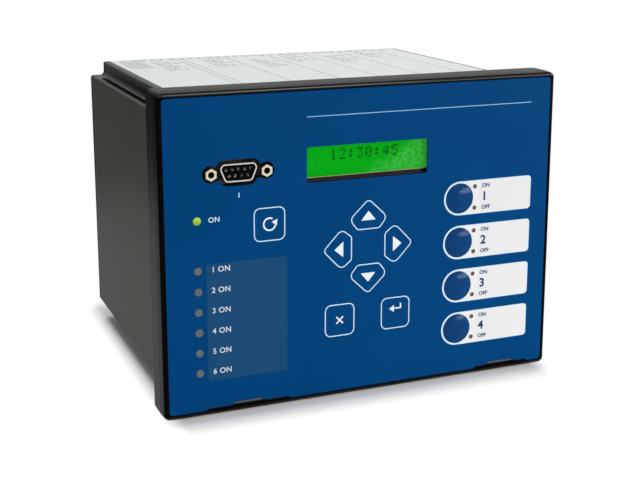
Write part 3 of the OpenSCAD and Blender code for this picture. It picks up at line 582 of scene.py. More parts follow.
class CONTROLLER_PG_face(bpy.types.PropertyGroup):
    """Sizes of what is printed on the face."""

    outline: bpy.props.FloatProperty(
        name="Key outline", description="Width of the line round each key, in mm",
        default=0.52, min=0.3, max=2.0,
    )
    arrow_width: bpy.props.FloatProperty(
        name="Arrow width", description="Width of an arrow key's triangle, in mm",
        default=6.9, min=3.0, max=10.0,
    )
    arrow_height: bpy.props.FloatProperty(
        name="Arrow height", description="Height of an arrow key's triangle, in mm",
        default=4.3, min=2.0, max=6.0,
    )
    field_height: bpy.props.FloatProperty(
        name="Button field", description="Height of the white field round a button, in mm",
        default=16.1, min=16.0, max=18.0,
    )
    rule_height: bpy.props.FloatProperty(
        name="Rule", description="Height of the rule above the face's middle, in mm",
        default=58.2, min=50.0, max=66.0,
    )
    print_thickness: bpy.props.FloatProperty(
        name="Ink", description="Thickness of the ink, in mm", default=0.03, min=0.01, max=0.1
    )


class CONTROLLER_PG_finish(bpy.types.PropertyGroup):
    """Colours of the finishes, as a screen shows them."""

    sheet: bpy.props.IntVectorProperty(
        name="Face sheet", description="Colour of the printed face",
        default=(0, 66, 121), size=3, min=0, max=255,
    )
    housing: bpy.props.IntVectorProperty(
        name="Bezel", description="Colour of the bezel housing",
        default=(32, 32, 29), size=3, min=0, max=255,
    )
    sleeve: bpy.props.IntVectorProperty(
        name="Sleeve", description="Colour of the sleeve",
        default=(89, 94, 87), size=3, min=0, max=255,
    )
    pale_ink: bpy.props.IntVectorProperty(
        name="Pale ink", description="Colour of the marks on the keys",
        default=(234, 243, 252), size=3, min=0, max=255,
    )
    line_ink: bpy.props.IntVectorProperty(
        name="Line ink", description="Colour of the lines round the keys and the button fields",
        default=(200, 230, 254), size=3, min=0, max=255,
    )
    white_ink: bpy.props.IntVectorProperty(
        name="White ink", description="Colour of the fields round the buttons",
        default=(235, 235, 236), size=3, min=0, max=255,
    )


class CONTROLLER_PG_studio(bpy.types.PropertyGroup):
    """Camera and light."""

    lens_mm: bpy.props.FloatProperty(
        name="Lens", description="Focal length",
        default=67.3, min=20.0, max=200.0, unit="CAMERA",
    )
    shift: bpy.props.FloatProperty(
        name="Shift", description="Upward shift of the camera's frame",
        default=-0.1, min=-0.2, max=0.2,
    )
    place: bpy.props.FloatVectorProperty(
        name="Camera", description="Place of the camera",
        default=(-0.217, -0.554, 0.215), size=3, unit="LENGTH",
    )
    yaw: bpy.props.FloatProperty(
        name="Yaw", description="Turn of the camera to the right",
        default=math.radians(22.26), subtype="ANGLE",
    )
    pitch: bpy.props.FloatProperty(
        name="Pitch", description="Tilt of the camera, below zero for down",
        default=math.radians(-12.27), subtype="ANGLE",
    )
    light: bpy.props.FloatProperty(
        name="Light", description="Strength of the room's light", default=0.28, min=0.0, max=3.0
    )


# ---- operators


class Step(bpy.types.Operator):
    """What every step of the dressing shares."""

    bl_options = {"REGISTER", "UNDO"}

    @property
    def face(self):
        """The sizes of the print."""
        return bpy.context.scene.controller_face

    def drawing(self):
        """An empty drawing as thick as the ink."""
        return Drawing(self.face.print_thickness)

    def colour(self, name):
        """One of the colours that the user can change."""
        return tuple(getattr(bpy.context.scene.controller_finish, name))


POLISHED = (0.4, 1.5)  # the rim's polished band, in from its edge


class CONTROLLER_OT_case(Step):
    """Finishes the bezel, its rim and seal, the sleeve and the rear panel."""

    bl_idname = "controller.case"
    bl_label = "Case"

    def rim(self):
        """Black plastic, dull in front and polished along its upper and lower edge."""
        finish = moulded("rim_plastic", (7, 4, 5), 0.3, 0.3, 0.002, 3, 1.08)
        low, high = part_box("front_rim")
        z = finish.axes()[2]
        over = abs(z - MID_Z / MM) - (high[2] - low[2]) / 2 / MM
        band = over.above(-POLISHED[1]) * over.below(-POLISHED[0])
        return finish.set(Coat_Weight=band * 0.5, Coat_Roughness=0.08)

    def sleeve(self):
        """Satin coat, with painted shade darkening each clamp groove and, towards the front, the
        low part of each step's wall.
        """
        finish = coated_metal("sleeve_coat", self.colour("sleeve"))
        coat = finish.shader.inputs["Base Color"].links[0].from_socket
        low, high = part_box("sleeve")
        across, up, y = finish.from_middle("sleeve")
        inward = high[0] / MM - abs(across)
        under = (high[2] - low[2]) / 2 / MM - abs(up)
        ahead = (1.25 - (y - low[1] / MM) * 0.0095).held()
        wall_shade = (1.6 - abs(under - 4.7) * 0.6).held() * inward.above(5.4) * ahead
        before_end = y.below(high[1] / MM - 15.0)
        groove_shade = under.above(6.7) * inward.above(1.35) * inward.below(4.8) * before_end
        # painted shade: the grooves and the low walls of the steps are mixed towards near-black
        dark = (wall_shade * 0.9 + groove_shade * 0.88).held()
        return finish.set(Base_Color=finish.mix(dark, coat, (12, 12, 9)))

    def execute(self, context):
        housing = moulded("bezel_plastic", self.colour("housing"), 0.42, spread=4, shine=1.12)
        dress(housing, "front_housing")
        dress(self.rim(), "front_rim")
        dress(moulded("seal_rubber", (18, 18, 18), 0.8, 0.6, 0.02, 3), "panel_seal")
        dress(self.sleeve(), "sleeve")
        dress(coated_metal("rear_coat", (60, 62, 58)), "rear_panel")
        return {"FINISHED"}


CARD_END = -66.8  # bare below here
WINDOW_INSET = 0.4  # from the card's side
WINDOW_FOOT = 13.5  # from the sheet's foot
WINDOW_DROP = 0.8  # from the card's top
WINDOW_CORNER = 0.6
WINDOW_RING = (0.4, -0.1)  # its printed ring's edges, outwards
RULE_ENDS = (-29.1, 83.4)
RULE_HALF = 0.16


class CONTROLLER_OT_sheet(Step):
    """Finishes the printed face sheet, the clear windows and the label cards."""

    bl_idname = "controller.sheet"
    bl_label = "Face sheet"

    def execute(self, context):
        sheet = printed_sheet("face_blue", self.colour("sheet"))
        dress(sheet, "face_sheet")
        film = window_film("card_window", (27, 76, 119), self.colour("white_ink"))
        dress(film, "label_windows")
        end = MID_Z / MM + CARD_END
        dress(card("lamp_card_blue", (34, 84, 126), end), "lamp_label_card")
        dress(card("button_card_white", (240, 241, 240), end), "button_label_card")
        self.window_edge(sheet)
        rule = self.drawing()
        level = self.face.rule_height
        left, right = RULE_ENDS
        rule.shape([bar_loop(left, level - RULE_HALF, right, level + RULE_HALF)], on_face())
        rule.piece("rule_line", "case", "face_print", ink("rule_ink", (160, 205, 244)))
        return {"FINISHED"}

    def window_edge(self, sheet):
        """The sheet's blue, printed round the window of the lamp card."""
        low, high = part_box("lamp_label_card")
        left, right = low[0] / MM + WINDOW_INSET, high[0] / MM - WINDOW_INSET
        foot = height_of(SHEET_LOW[2]) + WINDOW_FOOT
        top = height_of(high[2]) - WINDOW_DROP
        edge = self.drawing()
        loops = []
        for reach in WINDOW_RING:
            size = right - left + 2 * reach, top - foot + 2 * reach
            loops.append(taut_loop(box_circles(*size, WINDOW_CORNER + reach)))
        edge.shape(loops, on_face((left + right) / 2, (foot + top) / 2))
        edge.piece("lamp_window_edge", "case", "face_print", sheet)


ARROW_SIZE = (17.2, 13.6)  # width and height of the key's line
ARROW_FOOT = (4.4, 2.2)  # its foot's circles: across, and radius
ARROW_SHOULDER = (-1.8, 3.0)  # its shoulders' circles: up, and radius
ARROW_TIP = 2.3
ARROW_REACH = 14.75  # from the pad's middle to the key's
SQUARE_SIZE = (14.7, 15.3, 3.0)  # width, height and corner of the line
LINE_INSET = 0.05  # from a key's edge to its line
MARK_ROUND = 0.15  # radius of a triangle's corners
CROSS = (2.3, 0.34)  # half the length and width of its bars
RETURN_RISE = 2.1  # from the key's middle
RETURN_ARROW = (
    (-3.1, 0.0), (-0.7, 1.7), (-0.7, 0.32), (2.3, 0.32), (2.3, 2.3),
    (3.0, 2.3), (3.0, -0.32), (-0.7, -0.32), (-0.7, -1.7),
)
RING = (3.1, 2.35)  # outer and inner radius
RING_HEAD = ((1.2, 0.4), (4.2, 0.4), (2.7, -2.2))


def arrow_circles():
    """Circles of an arrow key: two at its flat base, two shoulders and a rounded tip."""
    width, height = ARROW_SIZE
    out, foot = ARROW_FOOT
    level, shoulder = ARROW_SHOULDER
    return [
        (-out, foot - height / 2, foot),
        (out, foot - height / 2, foot),
        (width / 2 - shoulder, level, shoulder),
        (0.0, height / 2 - ARROW_TIP, ARROW_TIP),
        (shoulder - width / 2, level, shoulder),
    ]


class CONTROLLER_OT_keys(Step):
    """Prints the outline and the mark of each flat key, which move with the key."""

    bl_idname = "controller.keys"
    bl_label = "Keys"

    def execute(self, context):
        cap = printed_sheet("key_blue", self.colour("sheet"))
        pale = ink("key_ink", self.colour("pale_ink"))
        line = ink("line_ink", self.colour("line_ink"))
        half, tall = self.face.arrow_width / 2, self.face.arrow_height
        quarter = math.pi / 2
        turns = {"key_up": 0.0, "key_down": math.pi, "key_left": quarter, "key_right": -quarter}
        across = (centre("key_left")[0] + centre("key_right")[0]) / 2
        up = (centre("key_up")[1] + centre("key_down")[1]) / 2
        triangle = [
            (MARK_ROUND - half, MARK_ROUND - tall / 2, MARK_ROUND),
            (half - MARK_ROUND, MARK_ROUND - tall / 2, MARK_ROUND),
            (0.0, tall / 2 - 0.3, 0.2),
        ]
        for key, turn in turns.items():
            matrix = on_face(across, up, 0.0, turn) @ moved(0, ARROW_REACH)
            self.outline(key, arrow_circles(), matrix, line)
            drawing = self.drawing()
            drawing.shape([taut_loop(triangle, 4)], matrix @ moved(0, -0.3))
            drawing.piece(key + "_print", key, "key_cap", pale)
        squares = {"key_cancel": self.cross, "key_accept": self.arrow, "key_reset": self.ring}
        for key, mark in squares.items():
            matrix = on_face(*centre(key))
            self.outline(key, box_circles(*SQUARE_SIZE), matrix, line)
            drawing = self.drawing()
            mark(drawing, matrix)
            drawing.piece(key + "_print", key, "key_cap", pale)
        dress(cap, *turns, *squares)
        return {"FINISHED"}

    def outline(self, key, circles, matrix, finish):
        """The line round a key, a piece of its own."""
        drawing = self.drawing()
        edge = grown(circles, -LINE_INSET)
        drawing.shape([taut_loop(edge), taut_loop(grown(edge, -self.face.outline))], matrix)
        drawing.piece(key + "_outline", key, "key_cap", finish)

    def cross(self, drawing, matrix):
        """Two bars, of which one lies a hair in front of the other."""
        long, wide = CROSS
        for turn in (math.pi / 4, -math.pi / 4):
            turned = matrix @ Matrix.Rotation(turn, 4, "Z") @ moved(0, 0, 0.001 * turn)
            drawing.shape([bar_loop(-long, -wide, long, wide)], turned)

    def arrow(self, drawing, matrix):
        """A return arrow."""
        drawing.shape([RETURN_ARROW], matrix @ moved(0, RETURN_RISE))

    def ring(self, drawing, matrix):
        """Most of a ring, with an arrow head at its end."""
        outer, inner = RING
        angles = [math.radians(60 + 290 * k / 30) for k in range(31)]
        arc = [(outer * math.cos(a), outer * math.sin(a)) for a in angles]
        back = [(x * inner / outer, y * inner / outer) for x, y in reversed(arc)]
        drawing.shape([arc + back], matrix)
        drawing.shape([RING_HEAD], matrix @ Matrix.Rotation(math.radians(25), 4, "Z"))


FIELD_HOLE = 7.15  # radius of the hole round a button
FIELD_LINE = 0.3  # width of the cooler line along its edges
FIELD_CORNER = 1.8
FIELD_REACH = 0.15  # past the end of the label windows
FIELD_WINDOW = (27.2, 0.75, 1.4)  # its window: length, less height, corner
FIELD_WINDOW_BACK = 14.05  # from the field's end to its window's middle
FIELD_LAMPS = (8.0, 5.08, 1.08)  # the lamps' holes: across, up, radius
NUMBER = (4.2, 0.16)  # height and weight of a button's number
WORD = (1.9, 0.08)  # height and weight of ON and OFF
WORDS = (11.7, 5.2)  # across to the words, and up to ON


class CONTROLLER_OT_buttons(Step):
    """Finishes the round buttons, and prints the white fields and their numbers."""

    bl_idname = "controller.buttons"
    bl_label = "Round buttons"

    def execute(self, context):
        names = ["button_1", "button_2", "button_3", "button_4"]
        dress(moulded("button_blue", (0, 60, 114), 0.14, 2.2, 0.02, 2, 1.17), *names)
        window_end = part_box("label_windows")[1][0] / MM
        front = front_of("label_windows")
        white, edges, dark = self.drawing(), self.drawing(), self.drawing()
        across, up = WORDS
        for number, name in enumerate(names, 1):
            u, v = centre(name)
            self.field(white, edges, on_face(u, v), window_end - u + FIELD_REACH)
            place = on_face(u, v, front)
            height, weight = NUMBER
            dark.text(str(number), height, place @ moved(across, 0), weight)
            height, weight = WORD
            dark.text("ON", height, place @ moved(across, up), weight)
            dark.text("OFF", height, place @ moved(across, -up), weight)
        field = ink("field_white", self.colour("white_ink"))
        white.piece("button_fields", "case", "face_print", field)
        line = ink("field_edge_ink", self.colour("line_ink"))
        edges.piece("button_field_edges", "case", "face_print", line)
        blue = ink("card_blue_ink", (8, 58, 112))
        dark.piece("button_numbers", "case", "button_card", blue)
        return {"FINISHED"}

    def field(self, white, edges, matrix, right):
        """A white field round a button, with its window and lamp holes, and its edges' lines."""
        half = self.face.field_height / 2
        corner = FIELD_CORNER
        circles = [
            (0.0, 0.0, half),
            (right - corner, corner - half, corner),
            (right - corner, half - corner, corner),
        ]
        length, less, rounding = FIELD_WINDOW
        window = [
            (x + right - FIELD_WINDOW_BACK, y, radius)
            for x, y, radius in box_circles(length, 2 * half - less, rounding)
        ]
        inner = taut_loop(grown(circles, -FIELD_LINE), 24)
        hole = circle_loop(0.0, 0.0, FIELD_HOLE + FIELD_LINE, 64)
        across, up, radius = FIELD_LAMPS
        lamps = [circle_loop(across, side * up, radius, 24) for side in (-1, 1)]
        white.shape([inner, hole, taut_loop(window)] + lamps, matrix)
        edges.shape([taut_loop(circles, 24), inner], matrix)
        edges.shape([hole, circle_loop(0.0, 0.0, FIELD_HOLE, 64)], matrix)


POWER_WORD = (-74.4, 2.3)  # across, and height
PORT_NUMBER = (26.2, 2.3)  # up, and height
LAMP_WORDS = (-73.4, 2.5)  # across, and height
LAMP_RADIUS = 2.05


class CONTROLLER_OT_lamps(Step):
    """Finishes the lamps, and prints the marks beside them."""

    bl_idname = "controller.lamps"
    bl_label = "Lamps"

    def execute(self, context):
        dress(lens("power_lens", (178, 238, 34), 0.08, "power_lamp"), "power_lamp")
        dress(lens("status_lens", (82, 97, 104)), "status_lamps")
        dress(lens("button_lens", (104, 72, 40)), "button_lamps")
        marks = self.drawing()
        across, height = POWER_WORD
        place = on_face(across, centre("power_lamp")[1])
        marks.text("ON", height, place, 0.05, spread=1.1)
        up, height = PORT_NUMBER
        marks.text("1", height, on_face(centre("port_shell")[0], up), 0.05, "CENTER")
        marks.piece("face_marks", "case", "face_print", ink("mark_ink", (212, 234, 248)))
        rows = self.drawing()
        low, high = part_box("status_lamps")
        front = front_of("label_windows")
        first = height_of(high[2]) - LAMP_RADIUS
        pitch = ((high[2] - low[2]) / MM - 2 * LAMP_RADIUS) / 5
        across, height = LAMP_WORDS
        for row in range(6):
            place = on_face(across, first - row * pitch, front)
            rows.text(str(row + 1) + " ON", height, place, 0.05, spread=1.08)
        rows.piece("lamp_numbers", "case", "lamp_card", ink("lamp_card_ink", (214, 226, 236)))
        return {"FINISHED"}


DIGITS = {
    "0": "01110 10001 10011 10101 11001 10001 01110",
    "1": "00100 01100 00100 00100 00100 00100 01110",
    "2": "01110 10001 00001 00010 00100 01000 11111",
    "3": "11111 00010 00100 00010 00001 10001 01110",
    "4": "00010 00110 01010 10010 11111 00010 00010",
    "5": "11111 10000 11110 00001 00001 10001 01110",
    ":": "00000 01100 01100 00000 01100 01100 00000",
}
DOT = 0.6
DOT_STEP = (0.62, 0.68)  # from one dot to the next, across and down
DIGIT_STEP = 4.25
FIRST_DOT = (-16.6, 42.2)
DOT_LIFT = 0.02  # the dots' height above the glass
BRINK_RISE = 3.5  # from the window's foot to the lit glass
BRINK_LINE = 0.3  # width of the painted highlight line there


class CONTROLLER_OT_display(Step):
    """Finishes the display, and sets the dots of its digits on the glass."""

    bl_idname = "controller.display"
    bl_label = "Display"

    text: bpy.props.StringProperty(
        name="Digits", description="Digits and colons to show", default="12:30:45"
    )

    def execute(self, context):
        low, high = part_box("display_glass")
        dress(liquid_crystal("display_green", low, high), "display_glass")
        surround = moulded("display_surround", (42, 34, 46), 0.5, 0.4, 0.01, 3)
        dress(surround, "display_frame")
        dress(clear_sheet("display_pane", (16, 60, 24), 0.05), "display_window")
        front = front_of("display_glass")
        left, right = low[0] / MM, high[0] / MM
        foot = height_of(low[2])
        brink = height_of(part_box("display_window")[0][2]) + BRINK_RISE
        strips = {
            "display_edge": (foot, brink, ink("edge_dark", (46, 38, 46))),
            # a painted highlight along the lower edge of the lit glass
            "display_line": (brink, brink + BRINK_LINE, ink("edge_pale", (176, 160, 120))),
        }
        for name, (under, over, finish) in strips.items():
            strip = self.drawing()
            strip.shape([bar_loop(left, under, right, over)], on_face(0.0, 0.0, front))
            strip.piece(name, "case", "display", finish)
        dark = ink("display_dark", (6, 58, 10), 0.4)
        add_piece("display_digits", self.dots(front + DOT_LIFT), "case", dark)
        return {"FINISHED"}

    def dots(self, lift):
        """The lit dots of the digits, as small flat squares."""
        bm = bmesh.new()
        left, top = FIRST_DOT
        across, down = DOT_STEP
        for place, sign in enumerate(self.text):
            for row, line in enumerate(DIGITS[sign].split()):
                for column, lit in enumerate(line):
                    if lit == "1":
                        u = left + place * DIGIT_STEP + column * across
                        at = on_face(u, top - row * down, lift)
                        bmesh.ops.create_grid(
                            bm, x_segments=1, y_segments=1, size=DOT / 2, matrix=at
                        )
        bmesh.ops.recalc_face_normals(bm, faces=bm.faces)
        for face in bm.faces:
            if face.normal.y > 0:
                face.normal_flip()
        return bm


FLANGE_DEPTH = 4.2  # from the face to the port's flange, painted near-black as shade
POST_REACH = 12.5  # from the port's middle to its posts
POST_BORE = 1.42
JACK_OPENING = 6.0  # half the width of the jack's opening
JACK_WIRES = (1.02, 0.42, 4.0)  # pitch, width, and half the row's length
INSULATOR = 3.8  # radius of the coaxial socket's insulator
CORE = 1.05  # radius of its core


class CONTROLLER_OT_sockets(Step):
    """Finishes the sockets, their posts and contacts, the terminals and the screws."""

    bl_idname = "controller.sockets"
    bl_label = "Sockets and terminals"

    def port(self):
        """Plated rim of the port, whose flange further in is painted near-black as shade."""
        finish = Finish("port_plate")
        # painted shade: past the flange depth the plate is coloured near-black
        inner = finish.axes()[1].above((FACE_Y + FLANGE_DEPTH * MM) / MM)
        return finish.plate((214, 212, 208), 0.24, inner * 0.3, (inner, (16, 15, 15)))

    def posts(self):
        """Plated posts at both sides of the port, with painted shade darkening their bores."""
        finish = Finish("post_bored")
        across, up, _ = finish.from_middle("port_posts")
        out = abs(across) - POST_REACH
        bore_shade = (out * out + up * up).below(POST_BORE * POST_BORE)
        # painted shade: the bores are coloured dark brown
        plain = (bore_shade, (44, 33, 20))
        return finish.plate((222, 212, 186), 0.2, bore_shade * 0.4, plain, lump=1.2, down=22)

    def contacts(self):
        """Brass darkened as painted shade of the socket, with a few painted bright glints."""
        finish = Finish("contact_brass")
        painted_glint = ((finish.noise(0.7, 1.0) - 0.52) * 8.0).held()
        # painted shade in the dull brass, painted highlights in the glints
        base = finish.mix(painted_glint, (92, 80, 58), (236, 232, 220))
        finish.set(Base_Color=base, Metallic=1.0, Roughness=0.3 + painted_glint * 0.1)
        return finish.bump(painted_glint, 0.004)

    def jack(self):
        """Plated shell, black inside, with a row of gilt wires in the upper half of its opening."""
        finish = Finish("jack_plate")
        low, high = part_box("network_jack")
        across, up, y = finish.from_middle("network_jack")
        within = abs(up).below((high[2] - low[2]) / 2 / MM - 0.4)
        inside = y.below(high[1] / MM - 0.3) * abs(across).below(JACK_OPENING) * within
        pitch, width, row = JACK_WIRES
        wires = (across + 50.0).repeat(pitch).below(width) * abs(across).below(row)
        wire = inside * up.above(0.5) * wires
        black, gilt = (inside, (14, 14, 15)), (wire, (196, 158, 74))
        return finish.plate((205, 203, 196), 0.24, inside * 0.3, black, gilt)

    def coaxial(self):
        """Nickel barrel round a pale insulator with a gilt core."""
        finish = Finish("coaxial_plate")
        across, up, _ = finish.from_middle("clock_socket")
        away = across * across + up * up
        insulator = away.below(INSULATOR * INSULATOR)
        core = away.below(CORE * CORE)
        dull = (insulator - core) * 0.25
        pale, gilt = (insulator, (206, 202, 190)), (core, (206, 166, 78))
        return finish.plate((214, 208, 190), 0.26, dull, pale, gilt)

    def execute(self, context):
        dress(plated("shell_plate", (205, 203, 196), 0.22), "serial_shells")
        dress(self.jack(), "network_jack")
        dress(self.port(), "port_shell")
        insert = moulded("insert_black", (7, 6, 6), 0.45, 0.3, 0.006, 3, 1.08)
        dress(insert, "port_insert", "serial_inserts")
        dress(self.contacts(), "port_contacts")
        dress(self.posts(), "port_posts")
        dress(plated("post_nickel", (214, 208, 190), 0.28), "serial_posts")
        dress(self.coaxial(), "clock_socket")
        zinc = plated("zinc_plate", (196, 198, 200), 0.32)
        dress(zinc, "rear_screws", "front_screws", "front_board_screws")
        dress(zinc, "switch_domes", "clock_battery")
        tin = plated("terminal_plate", (206, 200, 182), 0.3)
        dress(tin, "lug_screws", "wire_screws", "earth_nuts")
        dress(plated("earth_brass", (214, 178, 96), 0.3), "earth_stud")
        dress(moulded("terminal_black", (24, 24, 25), 0.5, 0.5, 0.01, 3), "lug_terminals")
        dress(moulded("terminal_green", (22, 92, 48), 0.45, 0.5, 0.01, 4), "wire_terminals")
        return {"FINISHED"}


POLE_HEIGHT = 1.7  # height of the numbers over the terminals
WIRE_RISE = 4.8  # from a wire screw to its number
LUG_RISE = 10.8  # from a lug screw to its number
SERIAL_APART = 18.0  # from the middle to each serial port
SOCKET_HEIGHT = 2.3  # height of the numbers under the sockets
SOCKET_DROP = 10.0  # from a socket's middle to its number


class CONTROLLER_OT_back(Step):
    """Prints plain numbers beside the rear sockets and terminals."""

    bl_idname = "controller.back"
    bl_label = "Rear numbers"

    def execute(self, context):
        marks = self.drawing()
        poles = [(u, v, WIRE_RISE) for u, v in middles("wire_screws")]
        poles += [(u, v, LUG_RISE) for u, v in middles("lug_screws")]
        poles.sort(key=lambda pole: (-pole[1], pole[0]))
        for number, (u, v, rise) in enumerate(poles, 1):
            marks.text(str(number), POLE_HEIGHT, on_back(u, v + rise), 0.04, "CENTER")
        serial_u, serial_v = centre("serial_shells")
        ports = [(-serial_u - SERIAL_APART, serial_v), (-serial_u + SERIAL_APART, serial_v)]
        ports += [(-u, v) for u, v in (centre("network_jack"), centre("clock_socket"))]
        for number, (u, v) in enumerate(ports, 2):
            place = on_back(u, v - SOCKET_DROP)
            marks.text(str(number), SOCKET_HEIGHT, place, 0.05, "CENTER")
        marks.piece("rear_numbers", "case", "face_print", ink("rear_ink", (206, 210, 208)))
        return {"FINISHED"}


class CONTROLLER_OT_inside(Step):
    """Finishes the boards and the parts on them."""

    bl_idname = "controller.inside"
    bl_label = "Inside"

    def execute(self, context):
        mask = board("solder_mask")
        dress(mask, "display_board", "front_board")
        dress(mask, "communication_board", "relay_board", "measuring_board")
        black = moulded("part_black", (26, 26, 28), 0.5, 0.5, 0.01, 3)
        dress(black, "board_connectors", "processor_chips", "output_relays")
        dress(black, "current_transformers")
        varnish = moulded("core_varnish", (84, 70, 52), 0.5, 0.8, 0.03, 8)
        dress(varnish, "power_transformer")
        dress(moulded("capacitor_film", (26, 34, 74), 0.35, 1.0, 0.01, 4), "filter_capacitors")
        tape = moulded("coil_tape", (176, 142, 40), 0.5, 0.8, 0.02, 8)
        dress(tape, "voltage_transformers")
        return {"FINISHED"}


COLUMN_RULES = (-47.6, -44.2, -20.4, 3.6, 24.0, 46.0, 68.0)
COLUMN_HALF = 0.16  # half the width of a column's rule
ROW_STEP = 5.2
WORD_HEIGHT = 1.2
WORD_GAP = 0.9
TABLE_LINES = 6
TABLE_STEP = (2.15, 5.4)  # from one line of the table to the next, across and up
DASHES = 30


class CONTROLLER_OT_top_label(Step):
    """Finishes the top label and prints its rules."""

    bl_idname = "controller.top_label"
    bl_label = "Top label"

    def execute(self, context):
        dress(printed_sheet("label_white", (225, 230, 229), 0.5, 2), "top_label")
        low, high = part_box("top_label")
        left, right = low[0] / MM, high[0] / MM
        front, back = (low[1] - FACE_Y) / MM, (high[1] - FACE_Y) / MM
        bars = self.columns(front, back)
        for depth in (front + 1.5, back - 1.2):
            bars.append((left + 1.5, depth - 0.15, right - 1.5, depth + 0.15))
        for line in range(TABLE_LINES):
            side, up = (line * step for step in TABLE_STEP)
            bars.append((left + 3.5, back - 36 + up, left + 14.5, back - 35.5 + up))
            bars.append((left + 3.5 + side, back - 36, left + 3.75 + side, back - 8.5))
        for dash in range(DASHES):
            u = left + 5 + dash * (right - left - 10) / DASHES
            bars.append((u, back - 5.4, u + 1.8 + dash * 7 % 4 * 0.7, back - 3.9))
        grey = self.drawing()
        for bar in bars:
            grey.shape([bar_loop(*bar)], on_top())
        grey.piece("label_rules", "case", "white_label", ink("label_grey", (126, 132, 134)))
        return {"FINISHED"}

    def columns(self, front, back):
        """A rule for each column, and short bars for the words in it."""
        bars = []
        for column, u in enumerate(COLUMN_RULES):
            bars.append((u - COLUMN_HALF, front + 5, u + COLUMN_HALF, back - 7))
            if column == 1:
                continue
            for row in range(8 - column // 2):
                start = back - 13 - row * ROW_STEP - 9 * (column % 2)
                at = u - 15.5
                for word in range(2 + (row + column) % 3):
                    long = 1.2 + (row * 5 + column * 3 + word * 7) % 4 * 0.8
                    bars.append((at, start, at + long, start + WORD_HEIGHT))
                    at += long + WORD_GAP
        return bars


# Each lamp's place, width and height in metres, and power in watts
LAMPS = {
    "softbox_top": ((-0.1, 0.2, 1.1), 0.9, 0.9, 6.5),
    "softbox_back": ((1.3, 1.0, 0.3), 0.8, 0.8, 6.0),
    "softbox_front": ((0.48, -1.35, 0.75), 0.5, 0.5, 8.6),
    "softbox_side": ((0.98, -1.0, 0.14), 1.0, 0.22, 7.5),
}
LAMPS_AIM = (0.0, 0.0, 0.07)
CARD_HALF = 0.35  # half the side of the black card
CARD_PLACE = (-0.47, 0.24, 0.36)
CARD_TURN = 0.2
FLOOR_HALF = 6.0
SHADOW_ROOM = ((88.0, 8.0), (84.0, 14.0))  # the shadow keeps to here, then fades: x, y
WHITE = (1.0, 1.0, 1.0, 1.0)


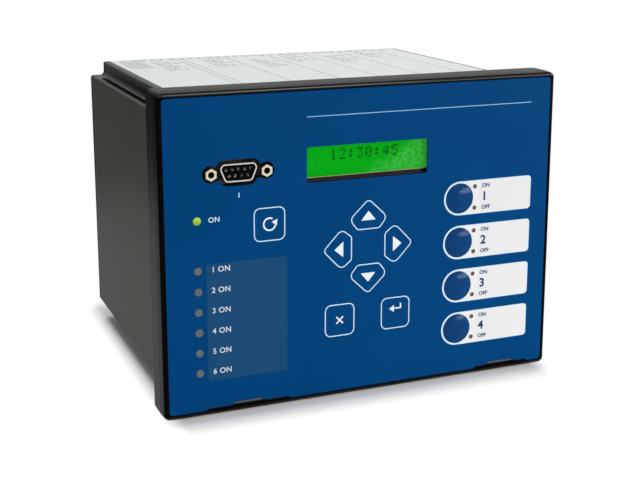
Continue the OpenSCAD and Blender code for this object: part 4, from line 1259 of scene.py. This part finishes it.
class CONTROLLER_OT_studio(Step):
    """Sets the floor, the light and the camera."""

    bl_idname = "controller.studio"
    bl_label = "Studio"

    def execute(self, context):
        studio = context.scene.controller_studio
        self.floor()
        self.world(studio.light)
        self.dark_card()
        for name, settings in LAMPS.items():
            self.lamp(name, *settings)
        self.camera(studio)
        context.scene.view_settings.view_transform = "Standard"
        return {"FINISHED"}

    def flat(self, name, half, finish):
        """A flat square of the studio, which is no part of the object."""
        bm = bmesh.new()
        bmesh.ops.create_grid(bm, x_segments=1, y_segments=1, size=half)
        square = solid_of(name, bm, finish)
        return square

    def dark_card(self):
        """A black card behind the left side, which the camera doesn't see: it darkens its top."""
        cloth = moulded("card_cloth", (14, 14, 14), 0.8, 0.6, 0.02, 3, 1.05)
        square = self.flat("studio_card", CARD_HALF, cloth)
        square.location = CARD_PLACE
        square.rotation_euler = (math.pi / 2, 0.0, CARD_TURN)
        square.visible_camera = False

    def floor(self):
        """White paper that keeps the shadow at the object's foot, greyed beyond about 0.2 m as
        painted shade.
        """
        finish = Finish("floor_white")
        white = finish.node("ShaderNodeEmission", {}, {"Color": WHITE, "Strength": 1.0})
        x, y, _ = finish.axes()
        (reach_x, fade_x), (reach_y, fade_y) = SHADOW_ROOM
        beside = ((abs(x) - reach_x) / fade_x).held()
        before = ((abs(y) - reach_y) / fade_y).held()
        away = (beside + before).held()
        # painted shade: the paper greys out beyond about 0.2 m, so that the floor's bounce light
        # falls off
        far_shade = ((x * x + y * y) * 6e-6 - 0.24).held()
        paper = finish.mix(far_shade, (250, 247, 243), (122, 120, 118))
        finish.set(Base_Color=paper, Roughness=0.7, IOR=1.1)
        bare = finish.seen() * (0.04 + away * 0.96)
        finish.blend(bare, finish.shader.outputs[0], white.outputs[0])
        self.flat("studio_floor", FLOOR_HALF, finish)

    def world(self, strength):
        """The room: white to the eye and in reflections, and a plain weak light elsewhere."""
        world = bpy.data.worlds.new("studio_light")
        bpy.context.scene.world = world
        world.use_nodes = True
        world.node_tree.nodes.clear()
        room = Nodes(world.node_tree)
        plain, white = (
            room.node("ShaderNodeBackground", {}, {"Color": WHITE, "Strength": light}).outputs[0]
            for light in (strength, 1.0)
        )
        mix = room.node("ShaderNodeMixShader", {}, {0: room.seen(), 1: plain, 2: white})
        room.node("ShaderNodeOutputWorld", {}, {"Surface": mix.outputs[0]})

    def lamp(self, name, place, width, height, power):
        """A round or oval soft lamp that faces the object's middle."""
        data = bpy.data.lights.new(name, "AREA")
        data.shape = "ELLIPSE"
        data.size, data.size_y = width, height
        data.energy = power
        lamp = placed(name, data)
        lamp.location = place
        aim = Vector(LAMPS_AIM) - Vector(place)
        lamp.rotation_euler = aim.to_track_quat("-Z", "Y").to_euler()

    def camera(self, studio):
        """The camera at the photograph's place and angle."""
        data = bpy.data.cameras.new("photo_camera")
        data.lens = studio.lens_mm
        data.sensor_width = 36.0
        data.shift_y = studio.shift
        data.clip_start = 0.01
        data.clip_end = 50.0
        camera = placed("photo_camera", data)
        camera.location = studio.place
        camera.rotation_euler = (math.pi / 2 + studio.pitch, 0.0, -studio.yaw)
        bpy.context.scene.camera = camera


STEPS = (
    CONTROLLER_OT_studio,
    CONTROLLER_OT_case,
    CONTROLLER_OT_sheet,
    CONTROLLER_OT_keys,
    CONTROLLER_OT_buttons,
    CONTROLLER_OT_lamps,
    CONTROLLER_OT_display,
    CONTROLLER_OT_sockets,
    CONTROLLER_OT_back,
    CONTROLLER_OT_top_label,
    CONTROLLER_OT_inside,
)
GROUPS = {
    "controller_face": CONTROLLER_PG_face,
    "controller_finish": CONTROLLER_PG_finish,
    "controller_studio": CONTROLLER_PG_studio,
}


class CONTROLLER_PT_panel(bpy.types.Panel):
    """Lists the steps and their settings."""

    bl_idname = "CONTROLLER_PT_panel"
    bl_label = "Panel controller"
    bl_space_type = "VIEW_3D"
    bl_region_type = "UI"
    bl_category = "Controller"

    def draw(self, context):
        for group in GROUPS:
            settings = getattr(context.scene, group)
            column = self.layout.column()
            for name in settings.bl_rna.properties.keys():
                if name not in ("rna_type", "name"):
                    column.prop(settings, name)
        for step in STEPS:
            self.layout.operator(step.bl_idname)


CLASSES = (*GROUPS.values(), *STEPS, CONTROLLER_PT_panel)


def register():
    """Makes the settings, the steps and the panel known to Blender."""
    for item in CLASSES:
        bpy.utils.register_class(item)
    for name, group in GROUPS.items():
        setattr(bpy.types.Scene, name, bpy.props.PointerProperty(type=group))


def unregister():
    """Takes them out again."""
    for name in GROUPS:
        delattr(bpy.types.Scene, name)
    for item in reversed(CLASSES):
        bpy.utils.unregister_class(item)


def main():
    """Runs the steps in order."""
    register()
    for step in STEPS:
        family, name = step.bl_idname.split(".")
        getattr(getattr(bpy.ops, family), name)()


if __name__ == "__main__":
    main()
